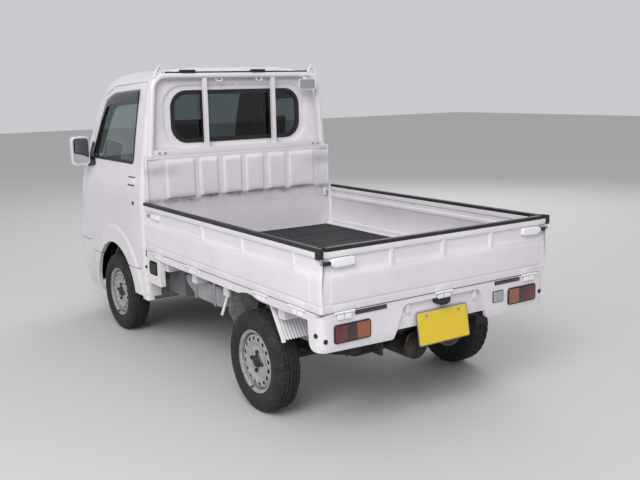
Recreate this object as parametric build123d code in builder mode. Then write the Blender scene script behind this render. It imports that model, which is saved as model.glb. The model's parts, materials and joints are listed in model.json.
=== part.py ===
from build123d import *
import os

os.makedirs("parts", exist_ok=True)

# A light cab-over truck with a drop-side bed. X points forward, Y to the left, Z up, in mm.
# The origin lies on the ground, under the middle of the vehicle.

# Axles and wheels
WHEELBASE = 1900
FRONT_AXLE_X = 860
REAR_AXLE_X = FRONT_AXLE_X - WHEELBASE
TRACK = 1300
TYRE_R = 265
TYRE_W = 145
BEAD_R = 153
RIM_W = 116
RIM_WALL = 6
DISC_WALL = 5
HUB_R = 30
HUB_EDGE = 4
SHAFT_R = 18
DRUM_R = 100
SHAFT_END_Y = 640
VENT_COUNT = 16
VENT_R = 8
VENT_CIRCLE_R = 104
NUT_COUNT = 4
NUT_CIRCLE_R = 50
NUT_R = 9

# Clearances: running parts, knuckles of a hinge, and shafts in bores or pieces that only meet
GAP = 6
PLAY = 1
FIT = 0.3

# Wheel sections, half seen from the side: distance out from the wheel's middle, radius
WELL_R = 128
RIM_EDGE_R = 165
DISC_FACE = 14
DRUM_IN = 45
DRUM_OUT = 8
RIM_SECTION = (
    (-58, RIM_EDGE_R), (-52, RIM_EDGE_R), (-48, BEAD_R), (-25, BEAD_R), (-18, WELL_R), (12, WELL_R),
    (22, BEAD_R), (48, BEAD_R), (52, RIM_EDGE_R), (58, RIM_EDGE_R), (58, RIM_EDGE_R - RIM_WALL),
    (50, BEAD_R - RIM_WALL), (26, BEAD_R - RIM_WALL), (16, WELL_R - RIM_WALL), (-20, WELL_R - RIM_WALL),
    (-29, BEAD_R - RIM_WALL), (-50, BEAD_R - RIM_WALL), (-58, RIM_EDGE_R - RIM_WALL),
)
DISC_SECTION = (
    (8, WELL_R - RIM_WALL / 2), (24, 112), (30, 98), (20, 80), (DISC_FACE, 62), (DISC_FACE, SHAFT_R + FIT),
    (DISC_FACE - DISC_WALL, SHAFT_R + FIT), (DISC_FACE - DISC_WALL, 64), (15, 82), (24, 97), (19, 108),
    (2, WELL_R - RIM_WALL / 2),
)
DRUM_SECTION = (
    (-DRUM_IN, SHAFT_R + FIT), (-DRUM_IN, DRUM_R), (-DRUM_OUT, DRUM_R), (-DRUM_OUT, HUB_R),
    (DISC_FACE, HUB_R), (DISC_FACE + HUB_R, HUB_R - HUB_EDGE), (DISC_FACE + HUB_R, 0), (-DRUM_OUT, 0),
    (-DRUM_OUT, SHAFT_R + FIT),
)
BEAD_W = 47
SIDE_W = 64
FLANGE_TOP = 166.5
FLANGE_RISE = 8
TYRE_WIDE_R = 214
SHOULDER_W = 54
SHOULDER_R = 258

# Cab skin, as level rings: height, half width at the sides, front at the middle
CAB_REAR_X = 335
CAB_WALL = 40
CAB_CORNER_R = 110
CAB_REAR_R = 35
CAB_BOW = 56
SKIRT_RINGS = ((200, 688, 1600), (330, 713, 1665), (600, 717, 1697))
BODY_RINGS = ((600, 717, 1697), (830, 716, 1628), (940, 719, 1612), (1107, 701, 1569))
WINDOW_RINGS = ((1107, 701, 1569), (1312, 673, 1478), (1583, 628, 1328), (1683, 603, 1233))
ROOF_RINGS = ((1683, 603, 1233), (1726, 555, 1170), (1758, 480, 1110), (1780, 330, 960))
REACH = 900
REAR_CUT = 160

# Cab openings, seen from the side (x, z) or from the front (y, z)
ARCH_R = 355
ROCKER_FRONT_X = 515
ROCKER_BOTTOM = 330
SKIRT_TOP = 565
BUMPER_REAR_X = 1155
AIR_SLOT_HALF = 330
AIR_SLOT_Z = (255, 335)
DOOR_OUTLINE = ((391, 505), (391, 1697), (930, 1672), (1110, 1606), (1345, 1120), (1345, 505))
DOOR_CORNER_R = 45
DOOR_DEPTH = 90
DOOR_INNER = ((462, 545), (462, 1150), (1310, 1150), (1310, 545))
DOOR_HINGE_X = 1348
DOOR_HINGE_Y = 719
DOOR_HINGE_Z = (645, 900)
DOOR_KNUCKLE = 34
DOOR_BARREL_R = 5
SIDE_WINDOW = ((494, 1180), (494, 1648), (925, 1628), (1062, 1583), (1258, 1180))
SIDE_WINDOW_R = 30
WINDSCREEN_LOW = (1140, 600)
WINDSCREEN_HIGH = (1655, 535)
WINDSCREEN_R = 60
REAR_WINDOW = (1312, 1632)
REAR_WINDOW_HALF = 477
REAR_WINDOW_R = 105
GLASS_IN = 12
GLASS_T = 5
HEADLAMP_Z = (865, 1035)
HEADLAMP_Y = (430, 730)
HEADLAMP_PROUD = 8
HEADLAMP_REACH = 225
HEADLAMP_T = 35

# Cab floor: seat platform over the front wheels, foot well in front of them
PLATFORM_TOP = 660
FLOOR_T = 20
FLOOR_HALF = 615
WELL_REAR_X = 1080
WELL_WIDE_X = 1225
WELL_FRONT_X = 1700
WELL_HALF = 400
WELL_FLOOR_TOP = 365
WELL_SIDE_TOP = 500
WELL_WALL = 12

# Cab furniture; the driver sits on the right
SEAT_Y = 330
SEAT_W = 480
CUSHION_X = (500, 980)
CUSHION_H = 130
CUSHION_R = 30
BACKREST_T = 100
BACKREST_H = 520
BACKREST_LEAN = 8
HEADREST = (60, 250, 150)
HEADREST_LIFT = 30
DASH_OUTLINE = ((1330, 820), (1300, 1000), (1345, 1085), (1500, 1085), (1640, 1000), (1640, 820))
DASH_HALF = 600
WHEEL_CENTRE = (1215, -330, 1010)
STEER_WHEEL_R = 175
STEER_RIM_R = 12
STEER_HUB_R = 45
STEER_SPOKE_W = 32
STEER_SPOKE_T = 18
STEER_LEAN = 45
COLUMN_R = 28
COLUMN_L = 158

# Bed: floor, side rails and front wall
BED_FRONT_X = 288
BED_HALF = 694
BED_TOP = 665
BED_T = 24
BED_REAR_X = -1649
SILL_OUT = 726.5
SILL_TOP = 651
SILL_BOTTOM = 610
SILL_FRONT_X = 275
SILL_ARCH_R = 362
CROSS_RIBS = (-1619, -1290, -720, -330, 60, 295)
CROSS_RIB_W = 60
CROSS_RIB_HALF = 690
WALL_T = 12
WALL_HALF = 690
WALL_TOP = 1235
WALL_HEAD_H = 35
WALL_HEAD_X = 326
PANEL_COUNT = 7
PANEL_PITCH = 160
PANEL_W = 130
PANEL_Z = (925, 1205)
PANEL_PROUD = 14
PANEL_TAPER = 30
MAT_T = 5
MAT_EDGE = 18

# Guard frame that stands on the front wall
TUBE_R = 19
GUARD_X = 305
GUARD_FOOT_Y = 650
GUARD_HEAD_Y = 606
GUARD_TOP = 1750
GUARD_BEND_R = 90
GUARD_RAIL_H = 38
UPRIGHT_Y = 255
UPRIGHT_W = 28
UPRIGHT_T = 22
HOOK_R = 5
HOOK_H = 52
HOOK_W = 40
LAMP_SIZE = (50, 140, 76)
LAMP_R = 10
LAMP_Y = -495
LAMP_TOP = 1700
LAMP_BRACKET_W = 30

# Drop sides: section as depth inside the bulge and height above the gate's lower edge
HINGE_Y = 732.5
HINGE_X = -1692.5
HINGE_Z = 651
KNUCKLE_R = 5
PIN_R = 2.5
LEAF_T = 4
SIDE_LEAF_W = 150
TAIL_LEAF_W = 110
LEAF_UP = 34
LEAF_DOWN = 36
GATE_BOTTOM = 657
GATE_TOP = 936
GATE_BULGE = 731.5
GATE_INNER = 700
GATE_SECTION = ((2.5, 0), (2.5, 33), (0, 41), (0, 161), (9, 179), (9, 248), (2.5, 253), (2.5, 279))
GATE_FRONT_X = 275
TAILGATE_HALF = 713.5
TAILGATE_INNER_X = -1655
SIDE_HINGES = (87, -391, -1166, -1500)
TAIL_HINGES = (600, 0, -600)
SIDE_RIBS = (-525, -977, -1465)
TAIL_RIBS = (322, 0, -322)
RIB_W = 24
RIB_Z = (838, 905)
POCKET_X = 125
POCKET_W = 180
POCKET_Z = (850, 908)
POCKET_DEPTH = 7
HANDLE_W = 120
HANDLE_H = 30
HANDLE_Y = 593
HANDLE_Z = 885
RAIL_H = 18
CAP_L = 34
CAP_H = 50

# Rear panel under the tailgate, lamps and plates
PANEL_BACK_X = -1682
REAR_PANEL_HALF = 722
REAR_PANEL_BOTTOM = 485
REAR_PANEL_R = 45
RECESS_HALF = (275, 305)
RECESS_TOP = 620
RECESS_FLOOR_Z = 500
RECESS_T = 10
TOW_EYE = (60, 12, 70)
TOW_HOLE_R = 14
TAIL_LAMP = (8, 205, 90)
TAIL_LAMP_Y = 542
TAIL_LAMP_Z = 552
BACK_LAMP = (6, 76, 66)
BACK_LAMP_Y = -400
BACK_LAMP_Z = 546
REFLECTOR = (6, 182, 20)
REFLECTOR_Y = (444, -444)
REFLECTOR_Z = 632
PLATE = (330, 165, 3)
PLATE_Z = 485
PLATE_LEAN = 10
# How far the strip that holds the rear plate ends short of the panel's back, its lower and upper edge
PLATE_BRACKET = (4, 25, 45)
FRONT_PLATE_Z = 440
FRONT_PLATE_X = 1691

# Chassis frame under cab and bed
RAIL_Y = 355
RAIL_W = 50
RAIL_SECTION_H = 90
RAIL_PATH = ((-1604, 500), (920, 500), (1050, 290), (1490, 290))
MEMBERS = ((-1600, 500), (-1330, 500), (-650, 500), (-60, 500), (90, 500), (1470, 290))
MEMBER_L = 50
MEMBER_H = 60
CAB_MOUNT_X = (420, 800)

# Running gear
AXLE_TUBE_R = 32
DIFF_R = 95
DIFF_W = 190
PINION_X = 85
BACKPLATE_R = 95
BACKPLATE_T = 6
BACKPLATE_Y = 592
SPRING_Y = 445
SPRING_W = 50
SPRING_T = 26
SPRING_HALF = 460
SPRING_END_Z = 400
KINGPIN_Y = 545
STRUT_R = 22
STRUT_MOUNT_R = 45
KNUCKLE_TOP = 344.7
KNUCKLE_BOTTOM = 215
KNUCKLE_BLOCK = (50, 56)
ARM_BOSS_R = 20
ARM_BOTTOM = 172
ARM_W = 44
CROSSMEMBER = (68, 640, 62)
CROSSMEMBER_Z = 232
ENGINE = (400, 500, 310)
ENGINE_X = 600
ENGINE_Z = 440
GEARBOX = (270, 200, 180)
SHAFT_TUBE_R = 25

# Small parts under the bed
FILLER = (200, 34, 165)
FILLER_X = 180
FILLER_Y = 708
FILLER_HOLE = (110, 26, 78)
TANK = (540, 200, 125)
TANK_X = -275
TANK_Y = 520
TANK_TOP = 545
BOX = (230, 200, 170)
BOX_R = 12
BOX_X = 125
BOX_Y = 500
LINER_R = 350
LINER_T = 5
LINER_Y = (412, 615)
GUARD_FRONT = ((-800, 610), (-735, 365))
GUARD_REAR = ((-1195, 610), (-1312, 430))
GUARD_SHEET = 6
GUARD_Y = (510, 700)
MUFFLER_R = 75
MUFFLER_L = 420
MUFFLER_Y = 130
MUFFLER_X = -1430
MUFFLER_Z = 395

# Mirrors on the doors
MIRROR_BASE = ((1180, 1120), (1335, 1120), (1250, 1300))
MIRROR_BASE_T = 10
MIRROR_CENTRE = (1240, 795, 1232)
MIRROR_SIZE = (70, 130, 205)
MIRROR_R = 25
MIRROR_ARM_R = 14
MIRROR_ARM_ROOT = 65

SIDES = (("left", 1), ("right", -1))


def cab_ring(height, half_width, front, inset):
    """One level outline of the cab, moved in by the inset."""
    rear = CAB_REAR_X + inset
    half = half_width - inset
    corner = front - inset - CAB_BOW
    with BuildSketch(Plane.XY.offset(height)) as ring:
        with BuildLine():
            Line((rear, CAB_REAR_R - half), (rear, half - CAB_REAR_R))
            TangentArc((rear, half - CAB_REAR_R), (rear + CAB_REAR_R, half), tangent=(0, 1))
            Line((rear + CAB_REAR_R, half), (corner - CAB_CORNER_R, half))
            TangentArc((corner - CAB_CORNER_R, half), (corner, half - CAB_CORNER_R), tangent=(1, 0))
            ThreePointArc((corner, half - CAB_CORNER_R), (front - inset, 0), (corner, CAB_CORNER_R - half))
            TangentArc((corner, CAB_CORNER_R - half), (corner - CAB_CORNER_R, -half), tangent=(0, -1))
            Line((corner - CAB_CORNER_R, -half), (rear + CAB_REAR_R, -half))
            TangentArc((rear + CAB_REAR_R, -half), (rear, CAB_REAR_R - half), tangent=(-1, 0))
        make_face()
    return ring.sketch


def cab_volume(inset):
    """The cab as one solid block; the inset moves its sides in and its roof down."""
    drop = max(inset, 0)
    top = WINDOW_RINGS[-1][0]
    with BuildPart() as volume:
        for rings in (SKIRT_RINGS, BODY_RINGS, WINDOW_RINGS, ROOF_RINGS):
            lowered = [(z - drop if z >= top else z, half, front) for z, half, front in rings]
            loft([cab_ring(z, half, front, inset) for z, half, front in lowered], ruled=True)
    return volume.part


def side_prism(outline, side, radius=0, grow=0):
    """A prism through one side of the vehicle, from an outline given in x and z."""
    with BuildPart(mode=Mode.PRIVATE) as prism:
        with BuildSketch(Plane.XZ):
            with BuildLine():
                Polyline(*outline, close=True)
            make_face()
            if radius:
                fillet(vertices(), radius)
            if grow:
                offset(amount=grow, kind=Kind.INTERSECTION)
        extrude(amount=-side * REACH)
    return prism.part


def long_prism(outline, front_x, length, radius=0, grow=0):
    """A prism along the vehicle, from an outline given in y and z; it starts at front_x."""
    with BuildPart(mode=Mode.PRIVATE) as prism:
        with BuildSketch(Plane.YZ.offset(front_x)):
            with BuildLine():
                Polyline(*outline, close=True)
            make_face()
            if radius:
                fillet(vertices(), radius)
            if grow:
                offset(amount=grow, kind=Kind.INTERSECTION)
        extrude(amount=-length)
    return prism.part


def block(x, y, z):
    """A box from its lowest and highest corner, given as three pairs."""
    with BuildPart(mode=Mode.PRIVATE) as cuboid:
        with Locations((sum(x) / 2, sum(y) / 2, sum(z) / 2)):
            Box(abs(x[1] - x[0]), abs(y[1] - y[0]), abs(z[1] - z[0]))
    return cuboid.part


def cross_cylinder(x, z, radius, y0, y1):
    """A cylinder across the vehicle, between two places on Y."""
    with BuildPart(mode=Mode.PRIVATE) as cylinder:
        with BuildSketch(Plane.XZ.offset(-y0)):
            with Locations((x, z)):
                Circle(radius)
        extrude(amount=y0 - y1)
    return cylinder.part


def upright_cylinder(x, y, radius, z0, z1):
    """A standing cylinder between two heights."""
    with BuildPart(mode=Mode.PRIVATE) as cylinder:
        with BuildSketch(Plane.XY.offset(z0)):
            with Locations((x, y)):
                Circle(radius)
        extrude(amount=z1 - z0)
    return cylinder.part


def to_side(part, side):
    """Give a left-hand part to either side."""
    return part if side > 0 else part.mirror(Plane.XZ)


def save(name, part):
    part.label = name
    export_step(part, f"parts/{name}.step")


def door_hinge(height, side, moving):
    """One half of a door hinge; the moving half is the middle knuckle, the fixed one has the pin."""
    reach = DOOR_HINGE_X - DOOR_OUTLINE[-1][0]
    with BuildPart(mode=Mode.PRIVATE) as hinge:
        half = DOOR_KNUCKLE / 2
        spans = ((-half, half),) if moving else ((-3 * half, -half - PLAY), (half + PLAY, 3 * half))
        for start, end in spans:
            z0, z1 = height + start, height + end
            add(upright_cylinder(DOOR_HINGE_X, side * DOOR_HINGE_Y, DOOR_BARREL_R, z0, z1))
            low, high = (-2 * reach, 0) if moving else (0, GAP)
            add(block(
                (DOOR_HINGE_X + low, DOOR_HINGE_X + high),
                (side * (DOOR_HINGE_Y - 2 * DOOR_BARREL_R), side * DOOR_HINGE_Y), (z0, z1),
            ))
        pin_r = PIN_R + FIT if moving else PIN_R
        pin = upright_cylinder(DOOR_HINGE_X, side * DOOR_HINGE_Y, pin_r, height - 3 * half, height + 3 * half)
        add(pin, mode=Mode.SUBTRACT if moving else Mode.ADD)
    return hinge.part


def hinge_notch(height, side):
    """Room for the barrels of a door hinge in the panel edges beside it."""
    reach = 3 * DOOR_KNUCKLE / 2 + PLAY
    return upright_cylinder(
        DOOR_HINGE_X, side * DOOR_HINGE_Y, DOOR_BARREL_R + PLAY, height - reach, height + reach
    )


outer = cab_volume(0)
inner = cab_volume(CAB_WALL)
arches = [cross_cylinder(FRONT_AXLE_X, TYRE_R, ARCH_R, 0, side * REACH) for name, side in SIDES]
windscreen_outline = (
    (-WINDSCREEN_LOW[1], WINDSCREEN_LOW[0]),
    (WINDSCREEN_LOW[1], WINDSCREEN_LOW[0]),
    (WINDSCREEN_HIGH[1], WINDSCREEN_HIGH[0]),
    (-WINDSCREEN_HIGH[1], WINDSCREEN_HIGH[0]),
)
rear_window_outline = (
    (-REAR_WINDOW_HALF, REAR_WINDOW[0]),
    (REAR_WINDOW_HALF, REAR_WINDOW[0]),
    (REAR_WINDOW_HALF, REAR_WINDOW[1]),
    (-REAR_WINDOW_HALF, REAR_WINDOW[1]),
)
headlamp_prisms = [
    long_prism(
        tuple((side * y, z) for y, z in (
            (HEADLAMP_Y[0], HEADLAMP_Z[0] + HEADLAMP_T),
            (HEADLAMP_Y[1], HEADLAMP_Z[0]),
            (HEADLAMP_Y[1], HEADLAMP_Z[1]),
            (HEADLAMP_Y[0], HEADLAMP_Z[1] - HEADLAMP_T),
        )),
        WELL_FRONT_X, HEADLAMP_REACH,
    )
    for name, side in SIDES
]

# Cab shell: roof, pillars, back panel, nose and the rocker behind the front wheel
with BuildPart() as cab_shell:
    add(outer)
    add(inner, mode=Mode.SUBTRACT)
    add(block((0, ROCKER_FRONT_X), (-REACH, REACH), (0, ROCKER_BOTTOM)), mode=Mode.SUBTRACT)
    add(block((ROCKER_FRONT_X, WELL_FRONT_X), (-REACH, REACH), (0, SKIRT_TOP)), mode=Mode.SUBTRACT)
    add(block(
        (0, ROCKER_FRONT_X), (-FLOOR_HALF, FLOOR_HALF), (0, PLATFORM_TOP - FLOOR_T)
    ), mode=Mode.SUBTRACT)
    for (name, side), arch in zip(SIDES, arches):
        add(arch, mode=Mode.SUBTRACT)
        add(side_prism(DOOR_OUTLINE, side, DOOR_CORNER_R, GAP), mode=Mode.SUBTRACT)
    add(long_prism(windscreen_outline, WELL_FRONT_X, REACH, WINDSCREEN_R), mode=Mode.SUBTRACT)
    add(long_prism(rear_window_outline, BED_FRONT_X, -REAR_CUT, REAR_WINDOW_R), mode=Mode.SUBTRACT)
    for prism in headlamp_prisms:
        add(prism, mode=Mode.SUBTRACT)
    for name, side in SIDES:
        for height in DOOR_HINGE_Z:
            add(hinge_notch(height, side), mode=Mode.SUBTRACT)
            add(door_hinge(height, side, False))
save("cab_shell", cab_shell.part)

# Front bumper: the skirt below the nose, cut by the wheel arches, with an air slot
with BuildPart() as front_bumper:
    add(outer)
    add(inner, mode=Mode.SUBTRACT)
    add(block((BUMPER_REAR_X, REACH * 2), (-REACH, REACH), (0, SKIRT_TOP - FIT)), mode=Mode.INTERSECT)
    for (name, side), arch in zip(SIDES, arches):
        add(arch, mode=Mode.SUBTRACT)
        add(side_prism(DOOR_OUTLINE, side, DOOR_CORNER_R, GAP), mode=Mode.SUBTRACT)
    add(block((BUMPER_REAR_X, REACH * 2), (-AIR_SLOT_HALF, AIR_SLOT_HALF), AIR_SLOT_Z), mode=Mode.SUBTRACT)
save("front_bumper", front_bumper.part)

# Glass: thin sheets that follow the skin, a little inside it
glass_outer = cab_volume(GLASS_IN)
glass_inner = cab_volume(GLASS_IN + GLASS_T)

with BuildPart() as windscreen:
    add(glass_outer)
    add(glass_inner, mode=Mode.SUBTRACT)
    add(long_prism(windscreen_outline, WELL_FRONT_X, REACH, WINDSCREEN_R, -FIT), mode=Mode.INTERSECT)
save("windscreen", windscreen.part)

with BuildPart() as rear_window:
    add(glass_outer)
    add(glass_inner, mode=Mode.SUBTRACT)
    add(
        long_prism(rear_window_outline, BED_FRONT_X, -REAR_CUT, REAR_WINDOW_R, -FIT), mode=Mode.INTERSECT
    )
save("rear_window", rear_window.part)

# Headlamps: blocks let into the corners of the nose, proud of the skin
with BuildPart() as headlamps:
    for prism in headlamp_prisms:
        add(prism)
    add(cab_volume(-HEADLAMP_PROUD), mode=Mode.INTERSECT)
    add(inner, mode=Mode.SUBTRACT)
save("headlamps", headlamps.part)

# Doors, made for the left: full depth below the belt, a slim frame round the window above it
with BuildPart() as door_depth:
    add(inner)
    add(cab_volume(DOOR_DEPTH), mode=Mode.SUBTRACT)
    add(side_prism(DOOR_INNER, 1, DOOR_CORNER_R), mode=Mode.INTERSECT)
with BuildPart() as door:
    add(outer)
    add(inner, mode=Mode.SUBTRACT)
    add(side_prism(DOOR_OUTLINE, 1, DOOR_CORNER_R), mode=Mode.INTERSECT)
    add(door_depth.part)
    add(side_prism(SIDE_WINDOW, 1, SIDE_WINDOW_R), mode=Mode.SUBTRACT)
    add(arches[0], mode=Mode.SUBTRACT)
    for height in DOOR_HINGE_Z:
        add(hinge_notch(height, 1), mode=Mode.SUBTRACT)
        add(door_hinge(height, 1, True))
with BuildPart() as pane:
    add(glass_outer)
    add(glass_inner, mode=Mode.SUBTRACT)
    add(side_prism(SIDE_WINDOW, 1, SIDE_WINDOW_R, -FIT), mode=Mode.INTERSECT)
for name, side in SIDES:
    save(f"door_{name}", to_side(door.part, side))
    save(f"door_glass_{name}", to_side(pane.part, side))

# Mirrors: a base on the door's front corner, an arm and a housing
mirror_inner = cab_volume(-FIT)
with BuildPart() as mirror_housing:
    with Locations(MIRROR_CENTRE):
        Box(*MIRROR_SIZE)
    fillet(edges().filter_by(Axis.X), MIRROR_R)
with BuildPart() as mirror_piece:
    add(cab_volume(-MIRROR_BASE_T))
    add(mirror_inner, mode=Mode.SUBTRACT)
    add(side_prism(MIRROR_BASE, 1), mode=Mode.INTERSECT)
    base_x = sum(point[0] for point in MIRROR_BASE) / len(MIRROR_BASE)
    base_z = sum(point[1] for point in MIRROR_BASE) / len(MIRROR_BASE)
    inboard = MIRROR_CENTRE[1] - MIRROR_SIZE[1] / 2
    with BuildLine(mode=Mode.PRIVATE) as route:
        Line(
            (base_x, inboard - MIRROR_ARM_ROOT, base_z),
            (MIRROR_CENTRE[0], inboard + MIRROR_R, MIRROR_CENTRE[2]),
        )
    with BuildSketch(Plane(route.line @ 0, z_dir=route.line % 0)):
        Circle(MIRROR_ARM_R)
    sweep(path=route.line)
    add(mirror_inner, mode=Mode.SUBTRACT)
    add(mirror_housing.part)
for name, side in SIDES:
    save(f"mirror_{name}", to_side(mirror_piece.part, side))

# Cab floor: seat platform, foot well and its walls
with BuildPart() as cab_floor:
    add(block((CAB_REAR_X, WELL_WIDE_X), (-FLOOR_HALF, FLOOR_HALF), (PLATFORM_TOP - FLOOR_T, PLATFORM_TOP)))
    add(block(
        (WELL_REAR_X, WELL_WIDE_X + WELL_WALL),
        (-WELL_HALF - WELL_WALL, WELL_HALF + WELL_WALL),
        (WELL_FLOOR_TOP - FLOOR_T, PLATFORM_TOP),
    ))
    add(block(
        (WELL_WIDE_X, WELL_FRONT_X), (-FLOOR_HALF, FLOOR_HALF), (WELL_FLOOR_TOP - FLOOR_T, WELL_SIDE_TOP)
    ))
    for side in (-1, 1):
        add(block(
            (WELL_WIDE_X, WELL_WIDE_X + WELL_WALL), (side * WELL_HALF, side * FLOOR_HALF),
            (WELL_FLOOR_TOP, PLATFORM_TOP),
        ))
    add(block(
        (WELL_REAR_X + WELL_WALL, WELL_WIDE_X + WELL_WALL), (-WELL_HALF, WELL_HALF), (WELL_FLOOR_TOP, REACH)
    ), mode=Mode.SUBTRACT)
    add(block(
        (WELL_WIDE_X + WELL_WALL, WELL_FRONT_X),
        (WELL_WALL - FLOOR_HALF, FLOOR_HALF - WELL_WALL),
        (WELL_FLOOR_TOP, REACH),
    ), mode=Mode.SUBTRACT)
    add(inner, mode=Mode.INTERSECT)
save("cab_floor", cab_floor.part)

# Seats: cushion, leaning backrest and headrest in one piece each, one beside the other
lean = Plane((CUSHION_X[0], 0, PLATFORM_TOP + CUSHION_H - CUSHION_R)).rotated((0, -BACKREST_LEAN, 0))
with BuildPart() as cushion:
    with Locations((sum(CUSHION_X) / 2, 0, PLATFORM_TOP + (CUSHION_H + FIT) / 2)):
        Box(CUSHION_X[1] - CUSHION_X[0], SEAT_W, CUSHION_H - FIT)
    fillet(edges().group_by(Axis.Z)[-1], CUSHION_R)
with BuildPart() as backrest:
    with Locations(lean * Location((BACKREST_T / 2, 0, BACKREST_H / 2))):
        Box(BACKREST_T, SEAT_W, BACKREST_H)
    fillet(edges().group_by(Axis.Z)[-1], CUSHION_R)
with BuildPart() as seats:
    head_z = BACKREST_H + HEADREST_LIFT
    with Locations((0, -SEAT_Y, 0), (0, SEAT_Y, 0)):
        add(cushion.part)
        add(backrest.part)
        with Locations(lean * Location((BACKREST_T / 2, 0, head_z + HEADREST[2] / 2))):
            Box(*HEADREST)
        with Locations(lean * Location((BACKREST_T / 2, 0, head_z - HEADREST_LIFT / 2))):
            Box(HEADREST[0] / 3, HEADREST[1] / 2, HEADREST_LIFT * 2)
save("seats", seats.part)

# Dashboard across the cab, against the nose
with BuildPart() as dashboard:
    with BuildSketch(Plane.XZ):
        with BuildLine():
            Polyline(*DASH_OUTLINE, close=True)
        make_face()
    extrude(amount=DASH_HALF, both=True)
    add(inner, mode=Mode.INTERSECT)
save("dashboard", dashboard.part)

# Steering wheel: rim, three spokes, hub and column down to the dashboard
steer_plane = Plane(WHEEL_CENTRE, x_dir=(0, -1, 0), z_dir=Vector(-1, 0, 0).rotate(Axis.Y, STEER_LEAN))
with BuildPart() as steering_wheel:
    with BuildSketch(Plane(steer_plane.origin, x_dir=steer_plane.x_dir, z_dir=steer_plane.y_dir)):
        with Locations((STEER_WHEEL_R, 0)):
            Circle(STEER_RIM_R)
    revolve(axis=Axis(steer_plane.origin, steer_plane.z_dir))
    with BuildSketch(steer_plane.offset(-STEER_RIM_R)):
        Circle(STEER_HUB_R)
        with PolarLocations(STEER_WHEEL_R / 2, 3, start_angle=-90):
            Rectangle(STEER_WHEEL_R - STEER_RIM_R / 2, STEER_SPOKE_W)
    extrude(amount=STEER_SPOKE_T)
    with BuildSketch(steer_plane.offset(-STEER_RIM_R)):
        Circle(COLUMN_R)
    extrude(amount=-COLUMN_L)
    add(dashboard.part, mode=Mode.SUBTRACT)
save("steering_wheel", steering_wheel.part)

# Chassis frame: two rails that drop under the foot well, and the members between them
with BuildPart() as chassis_frame:
    for side in (-1, 1):
        with BuildSketch(Plane.XZ.offset(-side * RAIL_Y)):
            with BuildLine():
                Polyline(*RAIL_PATH)
                offset(amount=RAIL_SECTION_H / 2, kind=Kind.INTERSECTION, side=Side.BOTH)
            make_face()
        extrude(amount=RAIL_W / 2, both=True)
    for x, z in MEMBERS:
        add(block(
            (x - MEMBER_L / 2, x + MEMBER_L / 2), (RAIL_W / 2 - RAIL_Y, RAIL_Y - RAIL_W / 2),
            (z - MEMBER_H / 2, z + MEMBER_H / 2),
        ))
    eye_x = RAIL_PATH[0][0] - RAIL_SECTION_H / 2 + TOW_EYE[0] / 2
    eye_z = RAIL_PATH[0][1] - RAIL_SECTION_H / 2 - TOW_EYE[2] / 2
    with Locations((eye_x, RAIL_Y, eye_z)):
        Box(*TOW_EYE)
    add(cross_cylinder(eye_x, eye_z, TOW_HOLE_R, 0, REACH), mode=Mode.SUBTRACT)
save("chassis_frame", chassis_frame.part)
rail_top = RAIL_PATH[0][1] + RAIL_SECTION_H / 2
rail_low_top = RAIL_PATH[-1][1] + RAIL_SECTION_H / 2

spring_low = TYRE_R + AXLE_TUBE_R + SPRING_T / 2
liner_top = TYRE_R + LINER_R + FIT

# Mounts between the frame and the cab
with BuildPart() as cab_mounts:
    for side in (-1, 1):
        for x in CAB_MOUNT_X:
            add(upright_cylinder(x, side * RAIL_Y, RAIL_W / 2, rail_top, PLATFORM_TOP - FLOOR_T))
        add(upright_cylinder(
            MEMBERS[-1][0], side * RAIL_Y, RAIL_W / 2, rail_low_top, WELL_FLOOR_TOP - FLOOR_T
        ))
save("cab_mounts", cab_mounts.part)


def hinge_leaf(along, width, upper):
    """One half of a drop-side hinge, made for the left side; along is its middle on X.

    The moving half has the middle knuckle, the fixed half the two outer ones and the pin.
    """
    half = width / 2
    middle = width / 4
    face = GATE_BULGE - GATE_SECTION[0][0] if upper else SILL_OUT
    with BuildPart(mode=Mode.PRIVATE) as leaf:
        if upper:
            leaf_y = (face, face + LEAF_T)
            add(block((along - half, along + half), leaf_y, (GATE_BOTTOM, GATE_BOTTOM + LEAF_UP)))
            add(block((along - middle, along + middle), leaf_y, (HINGE_Z, GATE_BOTTOM)))
            spans = ((-middle, middle),)
        else:
            low = HINGE_Z - KNUCKLE_R - PLAY
            add(block((along - half, along + half), (face, face + LEAF_T), (SILL_TOP - LEAF_DOWN, low)))
            spans = ((-half, -middle - PLAY), (middle + PLAY, half))
            for start, end in spans:
                add(block((along + start, along + end), (face, face + LEAF_T), (low, SILL_TOP)))
        for start, end in spans:
            with BuildSketch(Plane.YZ.offset(along + start)):
                with Locations((HINGE_Y, HINGE_Z)):
                    Circle(KNUCKLE_R)
            extrude(amount=end - start)
        with BuildSketch(Plane.YZ.offset(along - half)):
            with Locations((HINGE_Y, HINGE_Z)):
                Circle(PIN_R + FIT if upper else PIN_R)
        extrude(amount=width, mode=Mode.SUBTRACT if upper else Mode.ADD)
    return leaf.part


def to_tail(part):
    """Turn what is made for the left side to the tail, so that left becomes rearward."""
    return part.rotate(Axis.Z, 90).moved(Location((HINGE_X + HINGE_Y, 0, 0)))


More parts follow.
